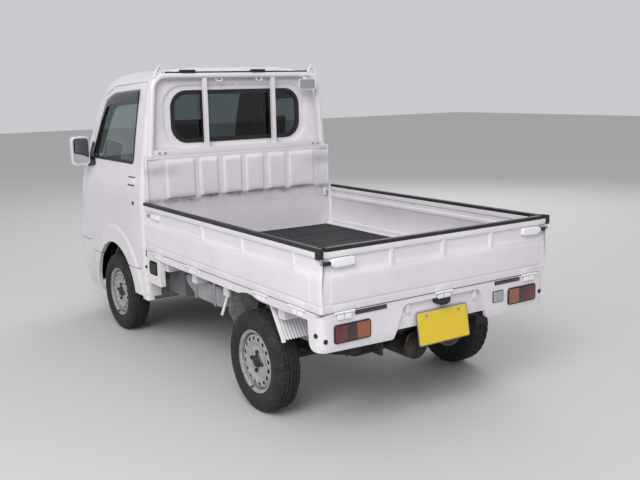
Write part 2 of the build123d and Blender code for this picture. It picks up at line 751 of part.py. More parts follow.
# Bed floor: deck, cross ribs and side rails with the fixed half of the hinges
with BuildPart() as bed_floor:
    add(block((BED_REAR_X, BED_FRONT_X + CAB_WALL), (-BED_HALF, BED_HALF), (BED_TOP - BED_T, BED_TOP)))
    for x in CROSS_RIBS:
        add(block(
            (x - CROSS_RIB_W / 2, x + CROSS_RIB_W / 2), (-CROSS_RIB_HALF, CROSS_RIB_HALF),
            (rail_top, BED_TOP - BED_T),
        ))
    for name, side in SIDES:
        add(block(
            (BED_REAR_X, SILL_FRONT_X), (side * (BED_HALF - BED_T), side * SILL_OUT), (SILL_BOTTOM, SILL_TOP)
        ))
        for x in SIDE_HINGES:
            add(to_side(hinge_leaf(x, SIDE_LEAF_W, False), side))
    add(cross_cylinder(REAR_AXLE_X, TYRE_R, SILL_ARCH_R, -REACH, REACH), mode=Mode.SUBTRACT)
save("bed_floor", bed_floor.part)

# Bed front wall: sheet with pressed panels and a folded head
with BuildPart() as bed_front_wall:
    add(block((BED_FRONT_X, BED_FRONT_X + WALL_T), (-WALL_HALF, WALL_HALF), (BED_TOP, WALL_TOP)))
    add(block((BED_FRONT_X, WALL_HEAD_X), (-WALL_HALF, WALL_HALF), (WALL_TOP - WALL_HEAD_H, WALL_TOP)))
    for side in (-1, 1):
        add(block(
            (BED_FRONT_X, WALL_HEAD_X), (side * (WALL_HALF - WALL_T), side * WALL_HALF), (BED_TOP, WALL_TOP)
        ))
    with BuildSketch(Plane.YZ.offset(BED_FRONT_X)):
        with Locations((0, sum(PANEL_Z) / 2)):
            with GridLocations(PANEL_PITCH, 1, PANEL_COUNT, 1):
                Rectangle(PANEL_W, PANEL_Z[1] - PANEL_Z[0])
    extrude(amount=-PANEL_PROUD, taper=PANEL_TAPER)
save("bed_front_wall", bed_front_wall.part)

# Rubber mat on the deck
with BuildPart() as bed_mat:
    add(block(
        (BED_REAR_X + MAT_EDGE, BED_FRONT_X - MAT_EDGE), (MAT_EDGE - BED_HALF, BED_HALF - MAT_EDGE),
        (BED_TOP + FIT, BED_TOP + FIT + MAT_T),
    ))
save("bed_mat", bed_mat.part)

# Guard frame: one bent tube, a lower rail, two uprights and rope hooks at its corners
guard_top_z = GUARD_TOP - TUBE_R
with BuildPart() as guard_frame:
    guard_plane = Plane.YZ.offset(GUARD_X)
    with BuildLine(guard_plane) as hoop:
        FilletPolyline(
            (-GUARD_FOOT_Y, WALL_TOP),
            (-GUARD_HEAD_Y, guard_top_z),
            (GUARD_HEAD_Y, guard_top_z),
            (GUARD_FOOT_Y, WALL_TOP),
            radius=GUARD_BEND_R,
        )
    with BuildSketch(Plane(hoop.line @ 0, z_dir=hoop.line % 0)):
        Circle(TUBE_R)
    sweep(path=hoop.line)
    add(block(
        (GUARD_X - TUBE_R, GUARD_X + TUBE_R), (TUBE_R - GUARD_FOOT_Y, GUARD_FOOT_Y - TUBE_R),
        (WALL_TOP, WALL_TOP + GUARD_RAIL_H),
    ))
    for side in (-1, 1):
        add(block(
            (GUARD_X - UPRIGHT_T / 2, GUARD_X + UPRIGHT_T / 2),
            (side * UPRIGHT_Y - UPRIGHT_W / 2, side * UPRIGHT_Y + UPRIGHT_W / 2),
            (WALL_TOP + GUARD_RAIL_H, guard_top_z),
        ))
        hook_y = side * (GUARD_HEAD_Y - GUARD_BEND_R / 2)
        with BuildLine(guard_plane) as hook:
            FilletPolyline(
                (hook_y + HOOK_W / 2, guard_top_z),
                (hook_y, GUARD_TOP + HOOK_H - HOOK_R),
                (hook_y - HOOK_W / 2, guard_top_z),
                radius=HOOK_R,
            )
        with BuildSketch(Plane(hook.line @ 0, z_dir=hook.line % 0)):
            Circle(HOOK_R)
        sweep(path=hook.line)
    add(block((0, REACH), (-REACH, REACH), (0, WALL_TOP)), mode=Mode.SUBTRACT)
save("guard_frame", guard_frame.part)

# Work lamp under the guard's top bar
with BuildPart() as work_lamp:
    lamp_x = GUARD_X - TUBE_R - FIT - LAMP_SIZE[0] / 2
    with Locations((lamp_x, LAMP_Y, LAMP_TOP - LAMP_SIZE[2] / 2)):
        Box(*LAMP_SIZE)
    fillet(edges().filter_by(Axis.X), LAMP_R)
    add(block(
        (lamp_x, GUARD_X), (LAMP_Y - LAMP_BRACKET_W / 2, LAMP_Y + LAMP_BRACKET_W / 2),
        (LAMP_TOP - LAMP_BRACKET_W / 2, guard_top_z - TUBE_R - FIT),
    ))
save("work_lamp", work_lamp.part)


def gate_section():
    """Closed outline of a drop side in depth and height: pressed outside, flat inside."""
    points = [(GATE_BULGE - depth, GATE_BOTTOM + height) for depth, height in GATE_SECTION]
    return points + [(GATE_INNER, GATE_TOP), (GATE_INNER, GATE_BOTTOM)]


# Side gates with their ribs, latch and the moving half of the hinges; the thin end that covers the
# tailgate's edge is pressed apart from the panel
band = GATE_BULGE - GATE_SECTION[5][0]
gate_rear_x = TAILGATE_INNER_X + GAP
for name, side in SIDES:
    with BuildPart() as gate:
        add(long_prism(gate_section(), GATE_FRONT_X, GATE_FRONT_X - gate_rear_x))
        add(block(
            (gate_rear_x - FIT, HINGE_X), (TAILGATE_HALF + GAP, GATE_BULGE - GATE_SECTION[0][0]),
            (GATE_BOTTOM, GATE_TOP),
        ))
        for x in SIDE_RIBS:
            add(block((x - RIB_W / 2, x + RIB_W / 2), (band - POCKET_DEPTH, GATE_BULGE), RIB_Z))
        add(block(
            (POCKET_X - POCKET_W / 2, POCKET_X + POCKET_W / 2), (band - POCKET_DEPTH, HINGE_Y), POCKET_Z
        ), mode=Mode.SUBTRACT)
        add(block(
            (POCKET_X - HANDLE_W / 2, POCKET_X + HANDLE_W / 2), (band - POCKET_DEPTH, GATE_BULGE),
            (HANDLE_Z - HANDLE_H / 2, HANDLE_Z + HANDLE_H / 2),
        ))
        for x in SIDE_HINGES:
            add(hinge_leaf(x, SIDE_LEAF_W, True))
    save(f"gate_{name}", to_side(gate.part, side))
    with BuildPart() as rail:
        add(block(
            (gate_rear_x, GATE_FRONT_X), (GATE_INNER, GATE_BULGE), (GATE_TOP + FIT, GATE_TOP + RAIL_H)
        ))
        fillet(rail.edges().filter_by(Axis.X).group_by(Axis.Z)[-1], RAIL_H / 3)
        add(block(
            (HINGE_X, gate_rear_x - FIT), (TAILGATE_HALF + GAP, GATE_BULGE),
            (GATE_TOP + FIT, GATE_TOP + RAIL_H),
        ))
        add(block(
            (HINGE_X, HINGE_X + CAP_L), (GATE_BULGE - GATE_SECTION[0][0] + FIT, HINGE_Y),
            (GATE_TOP + RAIL_H - CAP_H, GATE_TOP + RAIL_H),
        ))
    save(f"gate_rail_{name}", to_side(rail.part, side))

# Tailgate, made as a side gate and turned to the tail
with BuildPart() as tailgate:
    add(long_prism(gate_section(), TAILGATE_HALF, TAILGATE_HALF * 2))
    for y in TAIL_RIBS:
        add(block((y - RIB_W / 2, y + RIB_W / 2), (band - POCKET_DEPTH, GATE_BULGE), RIB_Z))
    for side in (-1, 1):
        y = side * HANDLE_Y
        add(block(
            (y - HANDLE_W / 2, y + HANDLE_W / 2), (band, GATE_BULGE),
            (HANDLE_Z - HANDLE_H / 2, HANDLE_Z + HANDLE_H / 2),
        ))
    for y in TAIL_HINGES:
        add(hinge_leaf(y, TAIL_LEAF_W, True))
save("tailgate", to_tail(tailgate.part))
with BuildPart() as tail_rail:
    add(block(
        (-GATE_INNER + GAP, GATE_INNER - GAP), (GATE_INNER, GATE_BULGE), (GATE_TOP + FIT, GATE_TOP + RAIL_H)
    ))
    fillet(tail_rail.edges().filter_by(Axis.X).group_by(Axis.Z)[-1], RAIL_H / 3)
save("tailgate_rail", to_tail(tail_rail.part))

# Rear panel with the plate recess and the fixed half of the tailgate hinges
with BuildPart() as rear_panel:
    with BuildSketch(Plane.YZ.offset(BED_REAR_X)):
        with BuildLine():
            Polyline(
                (-REAR_PANEL_HALF, SILL_TOP),
                (-REAR_PANEL_HALF, REAR_PANEL_BOTTOM),
                (-RECESS_HALF[1], REAR_PANEL_BOTTOM),
                (-RECESS_HALF[0], RECESS_TOP),
                (RECESS_HALF[0], RECESS_TOP),
                (RECESS_HALF[1], REAR_PANEL_BOTTOM),
                (REAR_PANEL_HALF, REAR_PANEL_BOTTOM),
                (REAR_PANEL_HALF, SILL_TOP),
                close=True,
            )
        make_face()
        fillet(vertices().group_by(Axis.Z)[0].sort_by(Axis.Y)[0], REAR_PANEL_R)
        fillet(vertices().group_by(Axis.Z)[0].sort_by(Axis.Y)[-1], REAR_PANEL_R)
    extrude(amount=PANEL_BACK_X - BED_REAR_X)
    add(block(
        (BED_REAR_X, BED_REAR_X - RECESS_T), (-RECESS_HALF[1], RECESS_HALF[1]), (RECESS_FLOOR_Z, SILL_TOP)
    ))
    for y in TAIL_HINGES:
        add(to_tail(hinge_leaf(y, TAIL_LEAF_W, False)))
        add(block(
            (PANEL_BACK_X, HINGE_X + HINGE_Y - SILL_OUT), (y - TAIL_LEAF_W / 2, y + TAIL_LEAF_W / 2),
            (SILL_TOP - LEAF_DOWN, HINGE_Z - KNUCKLE_R - 1),
        ))
save("rear_panel", rear_panel.part)


def lens_block(y, z, size):
    """A lamp or reflector that lies on the rear panel, its corners rounded."""
    with BuildPart(mode=Mode.PRIVATE) as lens:
        with Locations((PANEL_BACK_X - size[0] / 2, y, z)):
            Box(*size)
        fillet(lens.edges().filter_by(Axis.X), size[0])
    return lens.part


# Lamps and reflectors on the rear panel
with BuildPart() as tail_lamps:
    add(lens_block(TAIL_LAMP_Y, TAIL_LAMP_Z, TAIL_LAMP))
    add(lens_block(-TAIL_LAMP_Y, TAIL_LAMP_Z, TAIL_LAMP))
    add(lens_block(BACK_LAMP_Y, BACK_LAMP_Z, BACK_LAMP))
    for y in REFLECTOR_Y:
        add(lens_block(y, REFLECTOR_Z, REFLECTOR))
save("tail_lamps", tail_lamps.part)

# Number plates, blank, on their brackets
with BuildPart() as rear_plate:
    with Locations(Location((PANEL_BACK_X - PLATE[2], 0, PLATE_Z), (0, PLATE_LEAN, 0))):
        Box(PLATE[2], PLATE[0], PLATE[1])
    add(block(
        (PANEL_BACK_X + PLATE_BRACKET[0], BED_REAR_X - RECESS_T), (-PLATE[0] / 4, PLATE[0] / 4),
        (PLATE_Z + PLATE_BRACKET[1], PLATE_Z + PLATE_BRACKET[2]),
    ))
with BuildPart() as front_plate:
    with Locations((FRONT_PLATE_X, 0, FRONT_PLATE_Z)):
        Box(PLATE[2], PLATE[0], PLATE[1])
    add(block(
        (FRONT_PLATE_X - CAB_WALL, FRONT_PLATE_X), (-PLATE[0] / 4, PLATE[0] / 4),
        (FRONT_PLATE_Z + PLATE_BRACKET[1], FRONT_PLATE_Z + PLATE_BRACKET[2]),
    ))
    add(outer, mode=Mode.SUBTRACT)
with BuildPart() as number_plates:
    add(rear_plate.part)
    add(front_plate.part)
save("number_plates", number_plates.part)

# Rear axle: tube, differential, brake back plates and the shafts into the hubs
with BuildPart() as rear_axle:
    add(cross_cylinder(REAR_AXLE_X, TYRE_R, AXLE_TUBE_R, -BACKPLATE_Y, BACKPLATE_Y))
    add(cross_cylinder(REAR_AXLE_X, TYRE_R, DIFF_R, -DIFF_W / 2, DIFF_W / 2))
    for side in (-1, 1):
        add(cross_cylinder(
            REAR_AXLE_X, TYRE_R, BACKPLATE_R, side * BACKPLATE_Y, side * (BACKPLATE_Y + BACKPLATE_T)
        ))
        add(cross_cylinder(REAR_AXLE_X, TYRE_R, SHAFT_R, side * BACKPLATE_Y, side * SHAFT_END_Y))
        add(block(
            (REAR_AXLE_X - SPRING_W, REAR_AXLE_X + SPRING_W),
            (side * SPRING_Y - SPRING_W / 2, side * SPRING_Y + SPRING_W / 2),
            (TYRE_R, spring_low),
        ))
save("rear_axle", rear_axle.part)

# Leaf springs over the axle, their ends in hangers beside the frame
spring_ends = (REAR_AXLE_X - SPRING_HALF, REAR_AXLE_X + SPRING_HALF)
spring_foot = SPRING_END_Z - SPRING_T
with BuildPart() as leaf_springs:
    for side in (-1, 1):
        with BuildSketch(Plane.XZ.offset(-side * SPRING_Y)):
            with BuildLine():
                Line((spring_ends[0], SPRING_END_Z), (spring_ends[0], spring_foot))
                ThreePointArc(
                    (spring_ends[0], spring_foot),
                    (REAR_AXLE_X, spring_low + FIT),
                    (spring_ends[1], spring_foot),
                )
                Line((spring_ends[1], spring_foot), (spring_ends[1], SPRING_END_Z))
                ThreePointArc(
                    (spring_ends[1], SPRING_END_Z),
                    (REAR_AXLE_X, spring_low + SPRING_T),
                    (spring_ends[0], SPRING_END_Z),
                )
            make_face()
        extrude(amount=SPRING_W / 2, both=True)
        for x in spring_ends:
            add(block(
                (x - SPRING_T, x + SPRING_T),
                (side * (RAIL_Y + RAIL_W / 2), side * (SPRING_Y + SPRING_W / 2)),
                (spring_foot, rail_top - RAIL_SECTION_H / 2),
            ))
save("leaf_springs", leaf_springs.part)

# Front suspension: cross beam, lower arms and the struts up to the seat platform
with BuildPart() as front_suspension:
    with Locations((FRONT_AXLE_X, 0, CROSSMEMBER_Z)):
        Box(*CROSSMEMBER)
    for side in (-1, 1):
        add(block(
            (FRONT_AXLE_X - CROSSMEMBER[0] / 2, FRONT_AXLE_X + CROSSMEMBER[0] / 2),
            (side * (CROSSMEMBER[1] / 2 - RAIL_W), side * (CROSSMEMBER[1] / 2 + RAIL_W / 2)),
            (CROSSMEMBER_Z, rail_top - RAIL_SECTION_H),
        ))
        add(block(
            (FRONT_AXLE_X - ARM_W / 2, FRONT_AXLE_X + ARM_W / 2),
            (side * (CROSSMEMBER[1] / 2 - RAIL_W), side * KINGPIN_Y),
            (ARM_BOTTOM, CROSSMEMBER_Z - CROSSMEMBER[2] / 3),
        ))
        add(upright_cylinder(FRONT_AXLE_X, side * KINGPIN_Y, ARM_BOSS_R, ARM_BOTTOM, KNUCKLE_BOTTOM - FIT))
        add(upright_cylinder(
            FRONT_AXLE_X, side * KINGPIN_Y, STRUT_R, KNUCKLE_TOP + FIT, PLATFORM_TOP - FLOOR_T
        ))
        add(upright_cylinder(
            FRONT_AXLE_X, side * KINGPIN_Y, STRUT_MOUNT_R, liner_top, PLATFORM_TOP - FLOOR_T
        ))
save("front_suspension", front_suspension.part)

# Steering knuckles: block on the kingpin line, back plate and stub shaft
with BuildPart() as knuckle:
    with Locations((FRONT_AXLE_X, KINGPIN_Y, (KNUCKLE_BOTTOM + KNUCKLE_TOP) / 2)):
        Box(*KNUCKLE_BLOCK, KNUCKLE_TOP - KNUCKLE_BOTTOM)
    for radius, y0, y1 in (
        (BACKPLATE_R, BACKPLATE_Y, BACKPLATE_Y + BACKPLATE_T),
        (AXLE_TUBE_R, KINGPIN_Y, BACKPLATE_Y),
        (SHAFT_R, BACKPLATE_Y, SHAFT_END_Y),
    ):
        add(cross_cylinder(FRONT_AXLE_X, TYRE_R, radius, y0, y1))
for name, side in SIDES:
    save(f"knuckle_{name}", to_side(knuckle.part, side))

# Wheels, made for the left over the origin: a steel rim with disc, hub and drum, and its tyre
hub_plane = Plane((0, TRACK / 2, TYRE_R), x_dir=(0, 1, 0), z_dir=(1, 0, 0))
spin = Axis(hub_plane.origin, (0, 1, 0))
wheel_face = Plane(hub_plane.origin, z_dir=(0, 1, 0))
with BuildPart() as rim:
    with BuildSketch(hub_plane):
        with BuildLine():
            Polyline(*RIM_SECTION, close=True)
        make_face()
        with BuildLine():
            Polyline(*DISC_SECTION, close=True)
        make_face()
        with BuildLine():
            Polyline(*DRUM_SECTION, close=True)
        make_face()
    revolve(axis=spin)
    with BuildSketch(wheel_face):
        with PolarLocations(VENT_CIRCLE_R, VENT_COUNT):
            Circle(VENT_R)
    extrude(amount=RIM_W / 2, mode=Mode.SUBTRACT)
    with BuildSketch(wheel_face.offset(DISC_FACE)):
        with PolarLocations(NUT_CIRCLE_R, NUT_COUNT, start_angle=45):
            RegularPolygon(NUT_R, 6)
    extrude(amount=NUT_R)
heel = (SIDE_W, FLANGE_TOP + FLANGE_RISE)
shoulder = (SHOULDER_W, SHOULDER_R)
with BuildPart() as tyre:
    with BuildSketch(hub_plane):
        with BuildLine():
            Polyline((BEAD_W, BEAD_R + FIT), (BEAD_W, FLANGE_TOP), heel)
            ThreePointArc(heel, (TYRE_W / 2, TYRE_WIDE_R), shoulder)
            ThreePointArc(shoulder, (0, TYRE_R), (-SHOULDER_W, SHOULDER_R))
            ThreePointArc((-SHOULDER_W, SHOULDER_R), (-TYRE_W / 2, TYRE_WIDE_R), (-heel[0], heel[1]))
            Polyline(
                (-heel[0], heel[1]), (-BEAD_W, FLANGE_TOP), (-BEAD_W, BEAD_R + FIT), (BEAD_W, BEAD_R + FIT)
            )
        make_face()
    revolve(axis=spin)
for axle, axle_x in (("front", FRONT_AXLE_X), ("rear", REAR_AXLE_X)):
    for name, side in SIDES:
        place = Location((axle_x, 0, 0))
        save(f"rim_{axle}_{name}", to_side(rim.part, side).moved(place))
        save(f"tyre_{axle}_{name}", to_side(tyre.part, side).moved(place))

# Engine under the seats, with the gearbox and the shaft to the rear axle
with BuildPart() as engine:
    with Locations((ENGINE_X, 0, ENGINE_Z)):
        Box(*ENGINE)
    with Locations((ENGINE_X, 0, RAIL_PATH[0][1])):
        Box(RAIL_W, (RAIL_Y - RAIL_W / 2) * 2, RAIL_W)
    box_x = ENGINE_X - ENGINE[0] / 2 - GEARBOX[0] / 2
    with Locations((box_x, 0, ENGINE_Z)):
        Box(*GEARBOX)
    shaft_start = Vector(box_x, 0, ENGINE_Z)
    shaft_end = Vector(REAR_AXLE_X + PINION_X, 0, TYRE_R)
    with BuildSketch(Plane(shaft_start, z_dir=shaft_end - shaft_start)):
        Circle(SHAFT_TUBE_R)
    extrude(amount=(shaft_end - shaft_start).length)
    add(rear_axle.part, mode=Mode.SUBTRACT)
save("engine", engine.part)

# Fuel filler: a bracket under the left side rail with a square pocket
with BuildPart() as fuel_filler:
    with Locations((FILLER_X, FILLER_Y, SILL_BOTTOM - FIT - FILLER[2] / 2)):
        Box(*FILLER)
    with Locations((FILLER_X, FILLER_Y + FILLER[1] / 2, SILL_BOTTOM - FILLER[2] / 3)):
        Box(FILLER_HOLE[0], FILLER_HOLE[1] * 2, FILLER_HOLE[2], mode=Mode.SUBTRACT)
save("fuel_filler", fuel_filler.part)

# Fuel tank on the left, up against the cross ribs
with BuildPart() as fuel_tank:
    with Locations((TANK_X, TANK_Y, TANK_TOP - TANK[2] / 2)):
        Box(*TANK)
    fillet(edges().filter_by(Axis.Y), TANK[2] / 4)
save("fuel_tank", fuel_tank.part)

# Battery box on the left behind the cab
with BuildPart() as battery_box:
    with Locations((BOX_X, BOX_Y, TANK_TOP - BOX[2] / 2)):
        Box(*BOX)
    fillet(edges().filter_by(Axis.Z), BOX_R)
save("battery_box", battery_box.part)

# Wheel arch liners in front, sloping mud guards before and behind the rear wheels
with BuildPart() as liner:
    add(cross_cylinder(FRONT_AXLE_X, TYRE_R, LINER_R, *LINER_Y))
    add(cross_cylinder(FRONT_AXLE_X, TYRE_R, LINER_R - LINER_T, *LINER_Y), mode=Mode.SUBTRACT)
    add(block((0, REACH * 2), (-REACH, REACH), (-REACH, TYRE_R)), mode=Mode.SUBTRACT)
    strut_hole = upright_cylinder(FRONT_AXLE_X, KINGPIN_Y, STRUT_R + GAP, TYRE_R, liner_top)
    add(strut_hole, mode=Mode.SUBTRACT)
with BuildPart() as mudguards:
    for name, side in SIDES:
        add(to_side(liner.part, side))
        for (top_x, top_z), (low_x, low_z) in (GUARD_FRONT, GUARD_REAR):
            with BuildSketch(Plane.XZ.offset(-side * GUARD_Y[0])):
                with BuildLine():
                    Polyline(
                        (top_x, top_z), (low_x, low_z), (low_x + GUARD_SHEET, low_z),
                        (top_x + GUARD_SHEET, top_z), close=True,
                    )
                make_face()
            extrude(amount=-side * (GUARD_Y[1] - GUARD_Y[0]))
save("mudguards", mudguards.part)

# Silencer between the frame's rails
with BuildPart() as exhaust:
    with BuildSketch(Plane.YZ.offset(MUFFLER_X - MUFFLER_L / 2)):
        with Locations((MUFFLER_Y, MUFFLER_Z)):
            Circle(MUFFLER_R)
    extrude(amount=MUFFLER_L)
save("exhaust", exhaust.part)
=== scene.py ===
# A light cab-over truck with a drop-side bed, dressed for view from all sides.
# X points forward, Y to the left, Z up, in metres; the origin is on the ground under its middle.
import json
import math

import bmesh
import bpy
import numpy as np
from mathutils import Matrix, Vector
from mathutils.geometry import delaunay_2d_cdt


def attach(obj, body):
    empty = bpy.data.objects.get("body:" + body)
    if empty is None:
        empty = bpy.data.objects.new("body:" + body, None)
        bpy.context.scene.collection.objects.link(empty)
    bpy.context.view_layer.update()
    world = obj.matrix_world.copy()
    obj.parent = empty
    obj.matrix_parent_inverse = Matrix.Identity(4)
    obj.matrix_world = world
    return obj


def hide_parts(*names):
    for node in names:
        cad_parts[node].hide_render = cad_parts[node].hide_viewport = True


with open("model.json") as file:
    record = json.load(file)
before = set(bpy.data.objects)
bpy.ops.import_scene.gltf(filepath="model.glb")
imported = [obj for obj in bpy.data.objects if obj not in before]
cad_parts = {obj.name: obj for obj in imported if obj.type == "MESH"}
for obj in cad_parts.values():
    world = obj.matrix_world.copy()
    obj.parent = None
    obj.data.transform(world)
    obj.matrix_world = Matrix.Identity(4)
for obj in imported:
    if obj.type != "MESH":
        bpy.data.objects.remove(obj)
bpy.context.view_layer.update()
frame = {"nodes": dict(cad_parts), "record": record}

# Chassis frame: two pressed box rails with welded cross members and a tow eye at the back,
# dipped in black chassis paint. The cab stands on it on rubber pads, the bed on its ribs.


def linear(code):
    """A colour written as sRGB hex, as linear red, green, blue and alpha."""
    parts = [int(code[i:i + 2], 16) / 255 for i in (1, 3, 5)]
    return tuple(p / 12.92 if p <= 0.04045 else ((p + 0.055) / 1.055) ** 2.4 for p in parts) + (1.0,)


def add(tree, kind, settings=(), links=()):
    """Adds a shader node, with its settings by property or socket and its links by socket."""
    node = tree.nodes.new(kind)
    for key, value in dict(settings).items():
        if key == "stops":
            ramp = node.color_ramp.elements
            while len(ramp) < len(value):
                ramp.new(1.0)
            for stop, (place, colour) in zip(ramp, value):
                stop.position = place
                stop.color = linear(colour)
        elif isinstance(key, str) and key.islower():
            setattr(node, key, value)
        else:
            node.inputs[key].default_value = value
    for socket, source in dict(links).items():
        tree.links.new(source, node.inputs[socket])
    return node


def new_finish(name, colour, settings):
    """Starts a finish; returns it with its node tree, its shader and the piece's own coordinates."""
    finish = bpy.data.materials.new(name)
    finish.use_nodes = True
    tree = finish.node_tree
    shader = tree.nodes["Principled BSDF"]
    shader.inputs["Base Color"].default_value = linear(colour)
    for socket, value in settings.items():
        shader.inputs[socket].default_value = value
    place = tree.nodes.new("ShaderNodeTexCoord").outputs["Object"]
    return finish, tree, shader, place


def surface_finish(name, colour, settings, clouds=None, grain=None):
    """A finish with cloudy colour (scale, detail, roughness, stops) and raised grain (its size in metres,
    detail, strength, height); a grain without detail is cellular, as moulded plastic has it."""
    finish, tree, shader, place = new_finish(name, colour, settings)
    if clouds:
        scale, detail, roughness, stops = clouds
        cloud = add(
            tree, "ShaderNodeTexNoise", {"Scale": scale, "Detail": detail, "Roughness": roughness}, {"Vector": place}
        )
        tone = add(tree, "ShaderNodeValToRGB", {"stops": stops}, {"Fac": cloud.outputs["Fac"]})
        tree.links.new(tone.outputs["Color"], shader.inputs["Base Color"])
    if grain:
        size, detail, strength, rise = grain
        if detail is None:
            grit = add(tree, "ShaderNodeTexVoronoi", {"Scale": 1 / size}, {"Vector": place}).outputs["Distance"]
        else:
            grit = add(
                tree, "ShaderNodeTexNoise", {"Scale": 1 / size, "Detail": detail}, {"Vector": place},
            ).outputs["Fac"]
        relief = add(tree, "ShaderNodeBump", {"Strength": strength, "Distance": rise}, {"Height": grit})
        tree.links.new(relief.outputs["Normal"], shader.inputs["Normal"])
    return finish


def smooth_faces(mesh, angle):
    """Shades a mesh smooth, except across edges sharper than the angle."""
    mesh.shade_smooth()
    if hasattr(mesh, "set_sharp_from_angle"):
        mesh.set_sharp_from_angle(angle=math.radians(angle))


def eased(node, finish, edge=0.002):
    """The node's own form with its edges broken, as sheet or castings have them; it stands for the node."""
    source = frame["nodes"][node]
    mesh = source.data.copy()
    form = bmesh.new()
    form.from_mesh(mesh)
    bmesh.ops.remove_doubles(form, verts=form.verts, dist=0.00002)
    bmesh.ops.dissolve_limit(
        form, angle_limit=math.radians(0.4), verts=form.verts, edges=form.edges, delimit={"NORMAL"}
    )
    form.to_mesh(mesh)
    form.free()
    mesh.materials.clear()
    mesh.materials.append(finish)
    for polygon in mesh.polygons:
        polygon.material_index = 0
    piece = bpy.data.objects.new(node + "_form", mesh)
    bpy.context.scene.collection.objects.link(piece)
    if edge:
        rounding = piece.modifiers.new("broken_edges", "BEVEL")
        rounding.width = edge
        rounding.segments = 2
        rounding.limit_method = "ANGLE"
        rounding.angle_limit = math.radians(32)
        rounding.harden_normals = True
    smooth_faces(mesh, 30)
    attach(piece, body_of[node])
    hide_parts(node)
    return piece


body_of = {n: body for body, names in frame["record"]["behaviour"]["bodies"].items() for n in names}
slot_of = {part["node"]: part["material_slot"] for part in frame["record"]["subparts"]}

# Black chassis paint, sprayed thick over steel: dull, a little uneven, with road dust lying on it.
chassis_paint = surface_finish(
    "black_chassis_paint", "#1b1b1e", {"Roughness": 0.6},
    (11.0, 7.0, 0.62, ((0.30, "#131316"), (0.58, "#222226"), (0.80, "#3a3733"))), (0.004, 3.0, 0.25, 0.0006),
)

for node in ("chassis_frame", "leaf_springs", "front_suspension", "cab_floor"):
    eased(node, chassis_paint)

# Running gear: a cast rear axle, cast knuckles with their brake backing plates, and the engine
# block with its gearbox. All are bare castings, bolted up from below and never painted.

# Cast iron and aluminium, as sand cast: dark grey, rough and mottled with oil and dirt.
casting = surface_finish(
    "sand_cast_metal", "#3b3c3e", {"Roughness": 0.62, "Metallic": 0.55},
    (16.0, 8.0, 0.7, ((0.32, "#1f1f20"), (0.55, "#3d3e40"), (0.78, "#5a5650"))), (0.003, 2.0, 0.5, 0.0008),
)

for node in ("rear_axle", "engine", "knuckle_left", "knuckle_right"):
    eased(node, casting)

# Silencer: a rolled steel drum with pressed ends, coated in aluminium and browned by heat; it hangs
# with its bent pipe under the chassis frame.
aluminised_steel = surface_finish(
    "aluminised_steel", "#8a8781", {"Roughness": 0.45, "Metallic": 1.0},
    (7.0, 6.0, 0.6, ((0.34, "#2a2522"), (0.52, "#4a4642"), (0.72, "#63605b"))),
)
eased("exhaust", aluminised_steel, 0.006)

# Battery box and cab pads: moulded polythene, held by straps and bolts, grey and black. The mud guards
# and arch liners further down are of the same plastic, pale and spattered from the wheels.
dark_plastic = surface_finish(
    "moulded_dark_polythene", "#222225", {"Roughness": 0.55},
    (14.0, 6.0, 0.5, ((0.35, "#18181a"), (0.65, "#29292c"), (0.85, "#43403b"))), (0.0025, None, 0.2, 0.0004),
)

pale_plastic = surface_finish(
    "moulded_pale_polythene", "#9b9c98", {"Roughness": 0.5},
    (22.0, 9.0, 0.7, ((0.30, "#5d5c58"), (0.50, "#8d8e8b"), (0.70, "#abaca9"))),
)

grey_plastic = surface_finish("moulded_grey_polythene", "#68676c", {"Roughness": 0.55})
eased("battery_box", grey_plastic, 0.006)
eased("cab_mounts", dark_plastic)

# Tyres: 145/80R12 van tyres, moulded and vulcanised rubber with four grooves round the tread,
# cross cuts in the shoulders and raised bands on the side walls, pressed on to the rims.
SIDES = (("left", 1), ("right", -1))
ENDS = (("front", 0.86), ("rear", -1.04))
TYRE_R = 0.265
WHEEL_Y = 0.65
TYRE_STEPS = 216
# Tread and side wall of one half, from the middle outwards: distance across, radius, cut share
TYRE_HALF = (
    (0.0, 0.2650, 0), (0.0060, 0.2650, 0), (0.0085, 0.2650, 0), (0.0090, 0.2590, 0), (0.0125, 0.2590, 0),
    (0.0130, 0.2649, 0), (0.0200, 0.2648, 1), (0.0270, 0.2645, 1), (0.0275, 0.2586, 0), (0.0315, 0.2584, 0),
    (0.0320, 0.2642, 0), (0.0400, 0.2636, 1), (0.0480, 0.2622, 1), (0.0530, 0.2600, 1), (0.0570, 0.2562, 1),
    (0.0600, 0.2510, 0), (0.0630, 0.2440, 0), (0.0655, 0.2400, 0), (0.0690, 0.2380, 0), (0.0700, 0.2280, 0),
    (0.0716, 0.2200, 0), (0.0722, 0.2130, 0), (0.0722, 0.2060, 0), (0.0716, 0.2040, 0), (0.0708, 0.1960, 0),
    (0.0702, 0.1950, 0), (0.0668, 0.1840, 0), (0.0630, 0.1760, 0), (0.0625, 0.1720, 0), (0.0590, 0.1690, 0),
    (0.0560, 0.1662, 0), (0.0500, 0.1640, 0),
)
CUT_DEPTH = 0.0055

# Vulcanised rubber: near black, dull, greyed by road dust on the tread and the side wall bands.
rubber = surface_finish(
    "vulcanised_rubber", "#1d1d1f", {"Roughness": 0.78},
    (24.0, 8.0, 0.65, ((0.32, "#19191b"), (0.60, "#28282a"), (0.82, "#3e3c39"))), (0.0015, 2.0, 0.3, 0.0004),
)


def make_mesh(name, points, faces, finish, angle=30):
    """A mesh from its points and faces, in one finish, smooth up to an edge of that angle."""
    mesh = bpy.data.meshes.new(name)
    mesh.from_pydata([tuple(p) for p in points], [], faces)
    mesh.materials.append(finish)
    mesh.validate()
    smooth_faces(mesh, angle)
    return mesh


